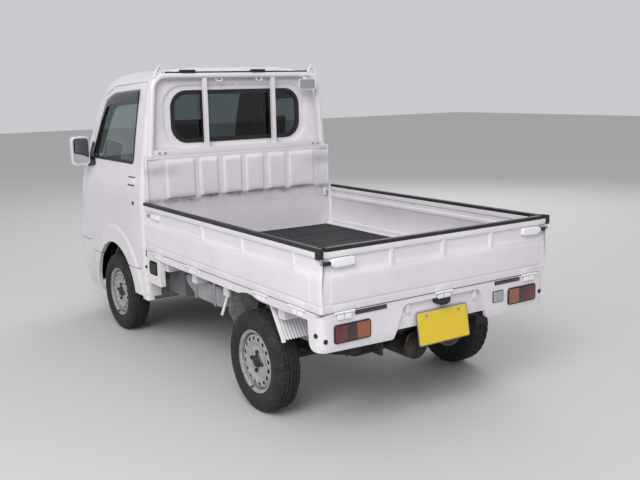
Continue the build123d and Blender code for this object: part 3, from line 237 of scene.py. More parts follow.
def place_piece(name, mesh, body, slot, at=(0, 0, 0), turn=0.0):
    """Puts a mesh in the scene, turned about Z, and lets it ride on its body."""
    piece = bpy.data.objects.new(name, mesh)
    bpy.context.scene.collection.objects.link(piece)
    piece.location = at
    piece.rotation_euler = (0, 0, turn)
    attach(piece, body)
    return piece


def turned(section, steps, closed=True):
    """Points and faces of a section turned about the Y axis; section rows are distance across, radius."""
    count = len(section)
    points = []
    for step in range(steps):
        angle = 2 * math.pi * step / steps
        for row in section:
            across, radius = row[0], row[1]
            points.append((radius * math.cos(angle), across, radius * math.sin(angle)))
    faces = []
    last = count if closed else count - 1
    for step in range(steps):
        following = (step + 1) % steps
        for i in range(last):
            j = (i + 1) % count
            faces.append((step * count + i, step * count + j, following * count + j, following * count + i))
    return points, faces


section = [(-y, r, cut) for y, r, cut in reversed(TYRE_HALF[1:])] + list(TYRE_HALF)
points, faces = turned(section, TYRE_STEPS, closed=True)
count = len(section)
for step in range(TYRE_STEPS):
    for i, (across, radius, cut) in enumerate(section):
        shifted = (step + (2 if across > 0 else 0)) % 6
        if cut and shifted in (0, 1):
            x, y, z = points[step * count + i]
            share = (radius - CUT_DEPTH) / radius
            points[step * count + i] = (x * share, y, z * share)
tyre_mesh = make_mesh("tyre", points, faces, rubber, 28)

# Rims: rolled and pressed steel, welded, painted silver grey, with sixteen vent holes round the
# disc, four nuts on studs, a dark hub cap and a rubber valve.
VENTS = 16
VENT_CIRCLE = 0.1200
VENT_R = 0.0116
NUT_CIRCLE = 0.050
RIM_STEPS = 96
RIM_RING = (
    (-0.0580, 0.1600), (-0.0580, 0.1650), (-0.0555, 0.1660), (-0.0525, 0.1645), (-0.0490, 0.1560),
    (-0.0455, 0.1530), (-0.0250, 0.1525), (-0.0185, 0.1290), (-0.0150, 0.1278), (0.0110, 0.1278),
    (0.0145, 0.1300), (0.0215, 0.1525), (0.0455, 0.1530), (0.0490, 0.1560), (0.0525, 0.1645),
    (0.0555, 0.1660), (0.0580, 0.1650), (0.0580, 0.1605), (0.0550, 0.1610), (0.0515, 0.1530),
    (0.0490, 0.1500), (0.0240, 0.1490), (0.0165, 0.1260), (0.0120, 0.1235), (-0.0160, 0.1235),
    (-0.0210, 0.1265), (-0.0270, 0.1490), (-0.0490, 0.1495), (-0.0520, 0.1540), (-0.0550, 0.1600),
)
# Height of the disc's outer face over the wheel's middle, by radius
DISC_FACE = (
    (0.0, 0.0400), (0.038, 0.0400), (0.062, 0.0405), (0.070, 0.0385), (0.084, 0.0385), (0.096, 0.0430),
    (0.110, 0.0475), (0.122, 0.0480), (0.132, 0.0455), (0.139, 0.0400), (0.1430, 0.0340), (0.1450, 0.0300),
)

# Wheel silver: a metallic paint, soft in its gloss, browned in patches by brake dust.
wheel_silver = surface_finish(
    "silver_wheel_paint", "#aaaaad", {"Roughness": 0.40, "Metallic": 0.3},
    (30.0, 9.0, 0.68, ((0.28, "#77716c"), (0.42, "#a1a0a1"), (0.62, "#b6b5b9"), (0.80, "#c4c3c8"))),
)


def between(table, value):
    """The second column of a table at a value of its first."""
    for (a, low), (b, high) in zip(table, table[1:]):
        if value <= b:
            return low + (high - low) * max(value - a, 0) / (b - a)
    return table[-1][1]


def circle(x, z, radius, count):
    """Points round a circle, as an outline."""
    return [
        (x + radius * math.cos(2 * math.pi * i / count), z + radius * math.sin(2 * math.pi * i / count))
        for i in range(count)
    ]


def filled(outlines, inner_points):
    """Triangles that fill the first outline but not the ones after it, with points inside for its curves."""
    points = [Vector(p) for outline in outlines for p in outline]
    edges = []
    start = 0
    for outline in outlines:
        size = len(outline)
        edges += [(start + i, start + (i + 1) % size) for i in range(size)]
        start += size
    points += [Vector(p) for p in inner_points]
    flat, _, triangles, *_ = delaunay_2d_cdt(points, edges, [], 0, 1e-7)

    corners = np.array([(p[0], p[1]) for p in flat])
    middles = np.array([corners[list(triangle)].mean(0) for triangle in triangles])
    kept = np.ones(len(middles), bool)
    for outline in outlines:
        odd = np.zeros(len(middles), bool)
        for (ax, ay), (bx, by) in zip(outline, outline[1:] + outline[:1]):
            if ay != by:
                across = ((ay > middles[:, 1]) != (by > middles[:, 1]))
                odd ^= across & (middles[:, 0] < (bx - ax) * (middles[:, 1] - ay) / (by - ay) + ax)
        kept &= odd if outline is outlines[0] else ~odd
    kept = [tuple(triangle) for triangle, keep in zip(triangles, kept) if keep]
    return [tuple(p) for p in flat], kept


holes = [
    circle(VENT_CIRCLE * math.cos(a), VENT_CIRCLE * math.sin(a), VENT_R, 14)
    for a in (2 * math.pi * (i + 0.5) / VENTS for i in range(VENTS))
]
rings = [
    circle(0, 0, radius, RIM_STEPS)
    for radius in (
        0.030, 0.040, 0.050, 0.062, 0.066, 0.070, 0.077, 0.084, 0.090, 0.096, 0.103, 0.108, 0.1335, 0.137,
        0.140, 0.1425,
    )
]
flat, triangles = filled([circle(0, 0, 0.1450, RIM_STEPS)] + holes, [p for ring in rings for p in ring])
disc_points = [(x, between(DISC_FACE, math.hypot(x, z)), z) for x, z in flat]
disc_mesh = make_mesh("wheel_disc", disc_points, [t[::-1] for t in triangles], wheel_silver, 50)
ring_mesh = make_mesh("wheel_ring", *turned(RIM_RING, RIM_STEPS), wheel_silver, 40)

# Hub cap of black plastic, hexagon nuts and the valve's rubber stem
hub_points, hub_faces = turned(
    (
        (0.0385, 0.034), (0.0470, 0.033), (0.0510, 0.030), (0.0530, 0.022), (0.0530, 0.019), (0.0515, 0.018),
        (0.0515, 0.0005),
    ), 40, False
)
hub_mesh = make_mesh("hub_cap", hub_points, hub_faces, dark_plastic, 45)
# Cast iron drum behind the disc: it shows dark through the vents
drum_points, drum_faces = turned(((-0.055, 0.118), (0.004, 0.118), (0.008, 0.114), (0.008, 0.0005)), 48, False)
drum_mesh = make_mesh("brake_drum", drum_points, drum_faces, dark_plastic, 40)
nut_points, nut_faces = turned(((0.0, 0.011), (0.010, 0.011), (0.013, 0.0085), (0.0135, 0.0005)), 6, False)
nut_mesh = make_mesh("wheel_nut", nut_points, nut_faces, casting, 20)
stem_points, stem_faces = turned(((0.0, 0.006), (0.010, 0.0045), (0.020, 0.004), (0.022, 0.0005)), 14, False)
stem_mesh = make_mesh("valve_stem", stem_points, stem_faces, rubber, 40)

for end, axle_x in ENDS:
    for name, side in SIDES:
        wheel = f"{end}_{name}"
        body = f"wheel_{wheel}"
        slot = slot_of[f"rim_{wheel}"]
        centre = (axle_x, side * WHEEL_Y, TYRE_R)
        turn = 0.0 if side > 0 else math.pi
        tyre = place_piece(f"tyre_{wheel}_tread", tyre_mesh, body, slot_of[f"tyre_{wheel}"], centre, turn)
        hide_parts(f"tyre_{wheel}")
        ring = place_piece(f"rim_{wheel}_ring", ring_mesh, body, slot, centre, turn)
        disc = place_piece(f"rim_{wheel}_disc", disc_mesh, body, slot, centre, turn)
        thick = disc.modifiers.new("sheet", "SOLIDIFY")
        thick.thickness = 0.0035
        thick.offset = -1
        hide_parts(f"rim_{wheel}")
        place_piece(f"brake_drum_{wheel}", drum_mesh, body, slot, centre, turn)
        place_piece(f"hub_cap_{wheel}", hub_mesh, body, slot, centre, turn)
        place_piece(f"valve_{wheel}", stem_mesh, body, slot, (
            centre[0] + 0.040 * math.cos(turn), centre[1] + side * 0.0445, centre[2] - 0.1475
        ), turn)
        for quarter in range(4):
            angle = math.pi * quarter / 2 + 0.12
            place_piece(f"wheel_nut_{wheel}_{quarter}", nut_mesh, body, slot, (
                centre[0] + NUT_CIRCLE * math.cos(angle), centre[1] + side * 0.0400,
                centre[2] + NUT_CIRCLE * math.sin(angle),
            ), turn)

# Cab: pressed steel panels, spot welded and painted white with the doors, the nose and the bed.
# The paint is enamel, baked on: smooth and bright, faintly rippled, with dust low down.
white_enamel, tree, shader, place = new_finish(
    "baked_white_enamel", "#dcdcdf", {"Roughness": 0.32, "Coat Weight": 0.35, "Coat Roughness": 0.12}
)
cloud = add(tree, "ShaderNodeTexNoise", {"Scale": 2.2, "Detail": 4.0, "Roughness": 0.55}, {"Vector": place})
tone = add(
    tree, "ShaderNodeValToRGB", {"stops": ((0.30, "#dcd6dc"), (0.55, "#e6e0e5"), (0.75, "#ebe6ea"))},
    {"Fac": cloud.outputs["Fac"]},
)
height = add(tree, "ShaderNodeSeparateXYZ", {}, {"Vector": place})
low = add(
    tree, "ShaderNodeMapRange", {"From Min": 0.60, "From Max": 0.32, "To Min": 0.0, "To Max": 0.5},
    {"Value": height.outputs["Z"]},
)
fleck = add(tree, "ShaderNodeTexNoise", {"Scale": 26.0, "Detail": 9.0, "Roughness": 0.72}, {"Vector": place})
patch = add(
    tree, "ShaderNodeMapRange", {"From Min": 0.45, "From Max": 0.72, "To Min": 0.0, "To Max": 1.0},
    {"Value": fleck.outputs["Fac"]},
)
amount = add(tree, "ShaderNodeMath", {"operation": "MULTIPLY"}, {0: low.outputs[0], 1: patch.outputs[0]})
dusty = add(
    tree, "ShaderNodeMix", {"data_type": "RGBA", 7: linear("#a29d94")},
    {0: amount.outputs[0], 6: tone.outputs["Color"]},
)
ripple = add(tree, "ShaderNodeTexNoise", {"Scale": 1 / 0.006, "Detail": 1.0}, {"Vector": place})
relief = add(tree, "ShaderNodeBump", {"Strength": 0.05, "Distance": 0.0005}, {"Height": ripple.outputs["Fac"]})
tree.links.new(dusty.outputs[2], shader.inputs["Base Color"])
tree.links.new(relief.outputs["Normal"], shader.inputs["Normal"])


def eased_curve(table, value):
    """The second column at a value of the first, along a smooth line that never overshoots its points."""
    if value <= table[0][0]:
        return table[0][1]
    for i in range(len(table) - 1):
        (a, low), (b, high) = table[i], table[i + 1]
        if value <= b:
            slope = (high - low) / (b - a)
            ends = []
            for j in (i - 1, i + 1):
                if 0 <= j < len(table) - 1:
                    other = (table[j + 1][1] - table[j][1]) / (table[j + 1][0] - table[j][0])
                    ends.append(2 * slope * other / (slope + other) if slope * other > 0 else 0.0)
                else:
                    ends.append(slope)
            t = (value - a) / (b - a)
            return (
                low * (1 + 2 * t) * (1 - t) ** 2 + high * t * t * (3 - 2 * t)
                + (b - a) * (ends[0] * t * (1 - t) ** 2 - ends[1] * t * t * (1 - t))
            )
    return table[-1][1]


# The cab's level outlines: height, half width at the sides; height, front at the middle
CAB_SIDE = (
    (0.200, 0.6880), (0.330, 0.7130), (0.600, 0.7170), (0.812, 0.7150), (0.830, 0.7160), (0.864, 0.7180),
    (0.940, 0.7190), (1.000, 0.7150), (1.107, 0.7010), (1.312, 0.6730), (1.583, 0.6280), (1.683, 0.6030),
    (1.726, 0.5550), (1.758, 0.4800), (1.780, 0.3300),
)
CAB_NOSE = (
    (0.200, 1.600), (0.330, 1.665), (0.450, 1.690), (0.600, 1.697), (0.830, 1.628), (0.940, 1.612), (1.107, 1.569),
    (1.312, 1.478), (1.583, 1.328), (1.683, 1.233), (1.726, 1.170), (1.758, 1.110), (1.780, 0.960),
)
CAB_REAR = 0.335
REAR_R = 0.035
REAR_RUN = REAR_R * math.pi / 2
CORNER_R = 0.110
CORNER_RUN = 0.160
BOW = 0.056
FLARE_R = 0.475
FLARE_TOP = 0.782
FLARE_PROUD = 0.011
AXLE = (0.860, TYRE_R)
# Field pressed in round the rear window: half width, middle height, half height
WINDOW_FIELD = (0.540, 1.473, 0.203)
FIELD_R = 0.145
FIELD_DEPTH = 0.010


def flare(x, z):
    """How far the pressed flare round the front wheel stands proud of the side."""
    edge = min(FLARE_R - math.hypot(x - AXLE[0], z - AXLE[1]), FLARE_TOP - z)
    return FLARE_PROUD * max(0.0, min(edge / 0.014, 1.0))


def back_relief(y, z):
    """How deep the back panel is pressed in round the window."""
    across = max(abs(y) - WINDOW_FIELD[0] + FIELD_R, 0.0)
    up = max(abs(z - WINDOW_FIELD[1]) - WINDOW_FIELD[2] + FIELD_R, 0.0)
    edge = FIELD_R - math.hypot(across, up)
    return FIELD_DEPTH * max(0.0, min(edge / 0.012, 1.0))


def rear_of(z):
    """Where the cab's back stands at that height; it leans in under the roof's edge."""
    return CAB_REAR + 0.020 * max(0.0, (z - 1.750) / 0.030) ** 2


def skin_point(run, z):
    """The cab's skin by height and by distance along its level outline from the middle of the nose."""
    side = 1 if run >= 0 else -1
    half, front = eased_curve(CAB_SIDE, z), eased_curve(CAB_NOSE, z)
    flat = half - CORNER_R
    corner = front - BOW - CORNER_R
    rear = rear_of(z)
    along = abs(run)
    if along <= flat:
        return Vector((front - BOW * (along / flat) ** 2, side * along, z))
    along -= flat
    if along <= CORNER_RUN:
        t = along / CORNER_RUN
        stiff = CORNER_R * 0.55
        path = (
            Vector((front - BOW, flat)), Vector((front - BOW - 2 * BOW / flat * stiff, flat + stiff)),
            Vector((corner + stiff, half)), Vector((corner, half)),
        )
        x, y = (
            path[0] * (1 - t) ** 3 + path[1] * 3 * t * (1 - t) ** 2 + path[2] * 3 * t * t * (1 - t)
            + path[3] * t ** 3
        )
        return Vector((x, side * y, z))
    along -= CORNER_RUN
    straight = corner - rear - REAR_R
    if along <= straight:
        x = corner - along
        return Vector((x, side * (half + flare(x, z)), z))
    along -= straight
    if along <= REAR_RUN:
        turn = along / REAR_R
        return Vector((
            rear + REAR_R * (1 - math.sin(turn)), side * (half - REAR_R + REAR_R * math.cos(turn)), z
        ))
    y = max(half - REAR_R - (along - REAR_RUN), 0.0)
    return Vector((rear + back_relief(y, z), side * y, z))


def run_on_nose(y, z):
    """The run of the skin at that y, in front."""
    flat = eased_curve(CAB_SIDE, z) - CORNER_R
    if abs(y) <= flat:
        return y
    low, high = flat, flat + CORNER_RUN
    for _ in range(24):
        middle = (low + high) / 2
        if skin_point(middle, z).y < abs(y):
            low = middle
        else:
            high = middle
    return math.copysign(low, y)


def run_on_side(x, z):
    """The run of the left skin at that x."""
    half, front = eased_curve(CAB_SIDE, z), eased_curve(CAB_NOSE, z)
    return half - CORNER_R + CORNER_RUN + (front - BOW - CORNER_R - x)


def run_on_back(y, z):
    """The run of the left skin at that y, behind."""
    half = eased_curve(CAB_SIDE, z)
    return run_on_side(rear_of(z) + REAR_R, z) + REAR_RUN + (half - REAR_R - y)


def rounded(outline, radius, steps=6):
    """An outline with its corners rounded; one radius, or one for each corner."""
    points = []
    count = len(outline)
    radii = radius if isinstance(radius, (list, tuple)) else [radius] * count
    for i in range(count):
        before, here, after = (Vector(outline[(i + k) % count]) for k in (-1, 0, 1))
        if not radii[i]:
            points.append(tuple(here))
            continue
        to_before, to_after = (before - here).normalized(), (after - here).normalized()
        turn = to_before.angle(to_after)
        reach = radii[i] / math.tan(turn / 2)
        start, end = here + to_before * reach, here + to_after * reach
        centre = here + (to_before + to_after).normalized() * (radii[i] / math.sin(turn / 2))
        for step in range(steps + 1):
            towards = (start - centre).lerp(end - centre, step / steps).normalized()
            points.append(tuple(centre + towards * radii[i]))
    return points


def rectangle(low, bottom, high, top, radius, steps=6):
    """A rectangle's outline with rounded corners."""
    return rounded(((low, bottom), (high, bottom), (high, top), (low, top)), radius, steps)


def shrunk(outline, middle, share):
    """An outline drawn smaller or larger about a point."""
    return [(middle[0] + (a - middle[0]) * share, middle[1] + (b - middle[1]) * share) for a, b in outline]


def stepped(outline, length=0.02, closed=True):
    """An outline with more points along its long runs."""
    ends = outline[1:] + outline[:1] if closed else outline[1:]
    points = []
    for (ax, ay), (bx, by) in zip(outline, ends):
        count = max(1, math.ceil(math.hypot(bx - ax, by - ay) / length))
        points += [(ax + (bx - ax) * i / count, ay + (by - ay) * i / count) for i in range(count)]
    return points if closed else points + [outline[-1]]


def clear_of(points, outlines, gap):
    """The points that lie farther than the gap from every point of the outlines."""
    edge_points = np.array([p for outline in outlines for p in outline])
    kept = []
    for point in points:
        if ((edge_points - np.array(point)) ** 2).sum(1).min() > gap * gap:
            kept.append(point)
    return kept


def lattice(outline, pitch):
    """Level rows of points inside an outline's bounds."""
    xs, ys = [p[0] for p in outline], [p[1] for p in outline]
    columns = max(2, round((max(xs) - min(xs)) / pitch))
    rows = max(2, round((max(ys) - min(ys)) / pitch))
    return [
        (min(xs) + (max(xs) - min(xs)) * column / columns, min(ys) + (max(ys) - min(ys)) * row / rows)
        for row in range(1, rows) for column in range(1, columns)
    ]


def pressed(name, outlines, seeds, surface, finish, body, slot, thickness=0.0, backing=None, flip=False):
    """A pressed panel: flat outlines, filled, laid on a surface and given its thickness inwards."""
    flat, triangles = filled(outlines, clear_of(seeds, outlines, 0.006))
    form = bmesh.new()
    corners = [form.verts.new(surface(x, y)) for x, y in flat]
    for triangle in triangles:
        form.faces.new([corners[i] for i in (triangle[::-1] if flip else triangle)])
    bmesh.ops.remove_doubles(form, verts=form.verts, dist=0.00005)
    mesh = bpy.data.meshes.new(name)
    form.to_mesh(mesh)
    form.free()
    mesh.materials.append(finish)
    smooth_faces(mesh, 40)
    if backing:
        mesh.materials.append(backing)
    piece = place_piece(name, mesh, body, slot)
    if thickness:
        sheet = piece.modifiers.new("sheet", "SOLIDIFY")
        sheet.thickness = thickness
        sheet.offset = -1
        sheet.material_offset = 1 if backing else 0
        edge = piece.modifiers.new("rolled_edge", "BEVEL")
        edge.width = 0.002
        edge.segments = 2
        edge.limit_method = "ANGLE"
        edge.angle_limit = math.radians(50)
        edge.harden_normals = True
    return piece


# Lower edge of the shell, door opening and arch, seen from the left: x, z
SHELL_BOTTOM = 0.571
ROCKER_BOTTOM = 0.330
DOOR_CUT = ((0.385, 0.499), (0.385, 1.7033), (0.9315, 1.6780), (1.1145, 1.6108), (1.351, 1.1213), (1.351, 0.499))
DOOR = ((0.391, 0.505), (0.391, 1.697), (0.930, 1.672), (1.110, 1.606), (1.345, 1.120), (1.345, 0.505))
ARCH_R = 0.355


def arch_x(z, side):
    """Where the wheel arch's edge is at that height, behind (-1) or before (1) the axle."""
    return AXLE[0] + side * math.sqrt(ARCH_R ** 2 - (z - AXLE[1]) ** 2)


cut = rounded(DOOR_CUT, (0, 0.051, 0.051, 0.051, 0.051, 0), 6)[1:-1]
cut_corner = rounded(((0.385, 0.60), (0.385, 0.499), (0.46, 0.499)), (0, 0.051, 0), 6)[1:-1]
window_edge = rounded(((0, 1.312), (0.477, 1.312), (0.477, 1.632), (0, 1.632)), (0, 0.105, 0.105, 0), 8)
half_outline = (
    [(run_on_side(1.351, SHELL_BOTTOM) * i / 60, SHELL_BOTTOM) for i in range(60)]
    + [(run_on_side(x, z), z) for x, z in stepped([(1.351, SHELL_BOTTOM)] + cut[::-1] + cut_corner, 0.02, False)]
    + [(run_on_side(x, 0.499), 0.499) for x in (0.46, 0.50, 0.54, 0.57)]
    + [(run_on_side(arch_x(z / 1000, -1), z / 1000), z / 1000) for z in range(499, 335, -15)]
    + [(run_on_side(x, ROCKER_BOTTOM), ROCKER_BOTTOM) for x in (arch_x(ROCKER_BOTTOM, -1), 0.47, 0.43, 0.40, 0.37)]
    + [(run_on_back(y, ROCKER_BOTTOM), ROCKER_BOTTOM) for y in (0.66, 0.64, 0.615)]
    + [(run_on_back(0.615, z), z) for z in (0.40, 0.48, 0.56)]
    + [(run_on_back(y / 100, 0.64), 0.64) for y in range(61, -1, -5)]
    + [(run_on_back(0, 0.64 + 0.02 * i), 0.64 + 0.02 * i) for i in range(33)]
    + [(run_on_back(y, z), z) for y, z in stepped(window_edge, 0.02, False)]
    + [(run_on_back(0, z), z) for z in (1.655, 1.68, 1.705, 1.726)]
    + [(run_on_back(0, 1.726) * i / 130, 1.726) for i in range(129, -1, -1)]
)
shell_outline = half_outline + [(-run, z) for run, z in reversed(half_outline[1:-1])]
screen_edge = rounded(((-0.600, 1.140), (0.600, 1.140), (0.535, 1.655), (-0.535, 1.655)), 0.060)
screen_outline = [(run_on_nose(y, z), z) for y, z in stepped(screen_edge)]


def lamp_outline(side, grow):
    """Edge of a headlamp's opening on the skin."""
    inner, outer = run_on_nose(0.430, 0.95) - grow, run_on_nose(0.6, 0.95) + 0.128 + grow
    edge = rounded((
        (inner, 0.900 - grow), (outer, 0.868 - grow), (outer, 1.032 + grow), (inner, 1.000 + grow)
    ), 0.022)
    return [(side * run, z) for run, z in stepped(edge)]


columns = (
    [("flat", i / 24) for i in range(24)] + [("corner", i / 16) for i in range(16)]
    + [("side", i / 52) for i in range(52)] + [("rear", i / 6) for i in range(6)]
    + [("back", i / 16) for i in range(17)]
)


def column_run(column, z):
    """The run of one of the skin's columns at a height."""
    kind, share = column
    flat = eased_curve(CAB_SIDE, z) - CORNER_R
    straight = run_on_back(flat + CORNER_R - REAR_R, z) - REAR_RUN - flat - CORNER_RUN
    start, length = {
        "flat": (0, flat), "corner": (flat, CORNER_RUN), "side": (flat + CORNER_RUN, straight),
        "rear": (flat + CORNER_RUN + straight, REAR_RUN),
        "back": (flat + CORNER_RUN + straight + REAR_RUN, flat + CORNER_R - REAR_R),
    }[kind]
    return start + length * share


shell_seeds = []
for row in range(93):
    z = 0.345 + 0.015 * row
    for column in columns[:-1]:
        run = column_run(column, z)
        shell_seeds += [(run, z), (-run, z)]


def sunk(surface, depth):
    """A surface moved in, square to itself, by that depth."""
    def place(a, b):
        step = 0.002
        across = surface(a + step, b) - surface(a - step, b)
        up = surface(a, b + step) - surface(a, b - step)
        return surface(a, b) - across.cross(up).normalized() * depth
    return place


field = [
    point for grow in (0.004, -0.004, -0.010, -0.017)
    for point in stepped(
        rectangle(-0.540 - grow, 1.270 - grow, 0.540 + grow, 1.676 + grow, FIELD_R + grow, 10), 0.018,
    )
]
shell_seeds += [(math.copysign(run_on_back(abs(y), z), y), z) for y, z in field]

# Inside faces of the cab: painted the same, but behind grey trim board and dark with use
trim_board = surface_finish("grey_trim_board", "#4b4c50", {"Roughness": 0.8})
shell = pressed(
    "cab_shell_skin", [shell_outline, screen_outline, lamp_outline(1, 0.0), lamp_outline(-1, 0.0)], shell_seeds,
    skin_point, white_enamel, "root", "body_white", 0.028, trim_board,
)
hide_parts("cab_shell")


def roof_height(x, y):
    """Height of the roof over a place in plan, with three shallow beads pressed into it."""
    low, high = 1.700, 1.780
    for _ in range(22):
        z = (low + high) / 2
        half, front = eased_curve(CAB_SIDE, z), eased_curve(CAB_NOSE, z)
        flat = half - CORNER_R
        share = (abs(y) - flat) / CORNER_R
        if share <= 0:
            reach = front - BOW * (y / flat) ** 2
        else:
            reach = front - BOW - CORNER_R + CORNER_R * max(0.0, 1 - share ** 2.2) ** (1 / 2.2)
        inside = abs(y) <= half and rear_of(z) <= x <= reach
        low, high = (z, high) if inside else (low, z)
    bead = max(0.0, 1 - abs(y) % 0.19 / 0.022) if abs(y) < 0.30 else 0.0
    ends = max(0.0, min((x - 0.45) / 0.03, (0.98 - x) / 0.03, 1.0))
    return Vector((x, y, low - 0.004 * min(bead, 1.0) * ends))


roof_ring = []
for column in columns:
    p = skin_point(column_run(column, 1.7205), 1.7205)
    roof_ring.append((p.x, p.y))
roof_ring = roof_ring + [(x, -y) for x, y in reversed(roof_ring[1:-1])]
pressed(
    "roof_skin", [roof_ring], lattice(roof_ring, 0.024), roof_height, white_enamel, "root", "body_white", 0.02,
    trim_board,
)

# Front bumper: a pressed steel skirt under the nose, screwed to the frame's ends and painted
# with the cab. It has one long air slot, and the front number plate stands on it.
BUMPER_TOP = 0.5647
BUMPER_BOTTOM = 0.203
arch_front = math.asin((BUMPER_BOTTOM - AXLE[1]) / ARCH_R), math.asin((0.505 - AXLE[1]) / ARCH_R)
bumper_half = (
    [(0.02 * i, BUMPER_BOTTOM) for i in range(30)]
    + [(run_on_side(x, BUMPER_BOTTOM), BUMPER_BOTTOM) for x in (1.40, 1.36, 1.32, 1.28, 1.24)]
    + [
        (run_on_side(AXLE[0] + ARCH_R * math.cos(a), AXLE[1] + ARCH_R * math.sin(a)), AXLE[1] + ARCH_R * math.sin(a))
        for a in (arch_front[0] + (arch_front[1] - arch_front[0]) * i / 20 for i in range(20))
    ]
    + [(run_on_side(x, z), z) for x, z in (
        (arch_x(0.499, 1), 0.499), (1.16, 0.499), (1.20, 0.499), (1.25, 0.499), (1.30, 0.499), (1.33, 0.502),
        (1.343, 0.510), (1.350, 0.525), (1.351, 0.545), (1.351, BUMPER_TOP),
    )]
    + [(run_on_side(1.351, BUMPER_TOP) * (1 - i / 60), BUMPER_TOP) for i in range(1, 60)]
    + [(0.0, BUMPER_TOP)]
)
bumper_outline = bumper_half + [(-run, z) for run, z in reversed(bumper_half[1:-1])]
slot_edge = stepped(rectangle(-0.33, 0.255, 0.33, 0.335, 0.030))
bumper_seeds = []
for row in range(24):
    z = 0.215 + 0.015 * row
    for column in columns[:92]:
        run = column_run(column, z)
        bumper_seeds += [(run, z), (-run, z)]
bumper = pressed(
    "bumper_skin", [bumper_outline, slot_edge], bumper_seeds, skin_point, white_enamel, "root", "body_white",
    0.024, chassis_paint,
)
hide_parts("front_bumper")

# Glass: toughened and laminated sheet glass with a faint green cast, set in black rubber seals.
toughened_glass = surface_finish(
    "toughened_glass", "#b4bdbb", {"Roughness": 0.0, "Transmission Weight": 1.0, "IOR": 1.45}
)
tinted_glass = surface_finish(
    "tinted_glass", "#7d8585", {"Roughness": 0.0, "Transmission Weight": 1.0, "IOR": 1.45}
)
# Rubber of the window seals and of the strips on the gates: extruded, black, a little shiny, dusty on its
# flats.
extruded_rubber = surface_finish(
    "extruded_edge_rubber", "#1a1a1c", {"Roughness": 0.5},
    (18.0, 6.0, 0.5, ((0.35, "#151517"), (0.60, "#202022"), (0.82, "#37373a"))),
)

# Doors: a pressed skin folded over its frame, hung on two hinges at its front edge, with a white handle
# between two black strips painted as the shade in its gaps, a black key plug, rubber round the glass and a
# smoked visor clipped over the window.
ARCH_EDGE = [
    (AXLE[0] + ARCH_R * math.cos(math.radians(a)), AXLE[1] + ARCH_R * math.sin(math.radians(a)))
    for a in range(45, 136, 5)
]
DOOR_ARCH = [(arch_x(0.505, 1), 0.505)] + ARCH_EDGE + [(arch_x(0.505, -1), 0.505)]
door_outline = rounded(DOOR, 0.045, 7) + DOOR_ARCH
WINDOW = ((0.494, 1.180), (0.494, 1.648), (0.925, 1.628), (1.062, 1.583), (1.258, 1.180))
window_outline = stepped(rounded(WINDOW, 0.030))
# More points where the flare round the wheel rises
door_seeds = lattice(door_outline, 0.016) + [
    (AXLE[0] + (FLARE_R - inset) * math.cos(math.radians(a)), AXLE[1] + (FLARE_R - inset) * math.sin(math.radians(a)))
    for inset in (-0.004, 0.003, 0.008, 0.015) for a in range(30, 150, 2)
] + [(0.40 + 0.015 * i, FLARE_TOP - drop) for i in range(62) for drop in (-0.003, 0.004, 0.014)]


def side_of(depth, sign):
    """The cab's side by x and z, sunk by a depth; the sign is 1 on the left."""
    return lambda x, z: Vector((x, sign * (eased_curve(CAB_SIDE, z) + flare(x, z) - depth), z))


def band(outline, inset):
    """An outline moved in by the same distance all round."""
    points = []
    count = len(outline)
    for i in range(count):
        before, here, after = (Vector(outline[(i + k) % count]) for k in (-1, 0, 1))
        along = (after - before).normalized()
        points.append(tuple(here + Vector((-along.y, along.x)) * inset))
    return points


def turned_left(outline):
    """The outline running anticlockwise."""
    area = sum(a[0] * b[1] - b[0] * a[1] for a, b in zip(outline, outline[1:] + outline[:1]))
    return outline if area > 0 else outline[::-1]


def tube(name, path, radius, finish, body, closed=False):
    """A round bar, strip or wire along a path."""
    line = bpy.data.curves.new(name, "CURVE")
    line.dimensions = "3D"
    line.bevel_depth = radius
    line.bevel_resolution = 3
    line.use_fill_caps = not closed
    run = line.splines.new("POLY")
    run.points.add(len(path) - 1)
    for point, place in zip(run.points, path):
        point.co = (*place, 1.0)
    run.use_cyclic_u = closed
    line.materials.append(finish)
    piece = bpy.data.objects.new(name, line)
    bpy.context.scene.collection.objects.link(piece)
    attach(piece, body)
    return piece


def bevelled_box(name, low, high, edge, finish, body, slot):
    """A small pressed or moulded block with rounded edges."""
    points = [(x, y, z) for x in (low[0], high[0]) for y in sorted((low[1], high[1])) for z in (low[2], high[2])]
    faces = [(0, 1, 3, 2), (4, 6, 7, 5), (0, 4, 5, 1), (2, 3, 7, 6), (0, 2, 6, 4), (1, 5, 7, 3)]
    form = bmesh.new()
    corners = [form.verts.new(p) for p in points]
    for face in faces:
        form.faces.new([corners[i] for i in face])
    bmesh.ops.recalc_face_normals(form, faces=form.faces)
    bmesh.ops.bevel(
        form, geom=list(form.edges), offset=edge, segments=3, profile=0.5, affect="EDGES", clamp_overlap=True
    )
    mesh = bpy.data.meshes.new(name)
    form.to_mesh(mesh)
    form.free()
    mesh.materials.append(finish)
    smooth_faces(mesh, 35)
    return place_piece(name, mesh, body, slot)


def lofted(name, rings, finish, body, slot, angle=40):
    """A closed form through rings of equally many points, its two ends filled."""
    count = len(rings[0])
    points = [p for ring in rings for p in ring]
    faces = [tuple(reversed(range(count))), tuple(len(points) - count + i for i in range(count))]
    for row in range(len(rings) - 1):
        for i in range(count):
            a, b = row * count + i, row * count + (i + 1) % count
            faces.append((a, b, b + count, a + count))
    mesh = make_mesh(name, points, faces, finish, angle)
    form = bmesh.new()
    form.from_mesh(mesh)
    bmesh.ops.recalc_face_normals(form, faces=form.faces)
    form.to_mesh(mesh)
    form.free()
    return place_piece(name, mesh, body, slot)


# Smoked acrylic of the visors: nearly black and glossy, and it lets a little light through.
smoked_acrylic = surface_finish(
    "smoked_acrylic", "#34343a", {"Roughness": 0.08, "Transmission Weight": 0.5, "IOR": 1.49}
)
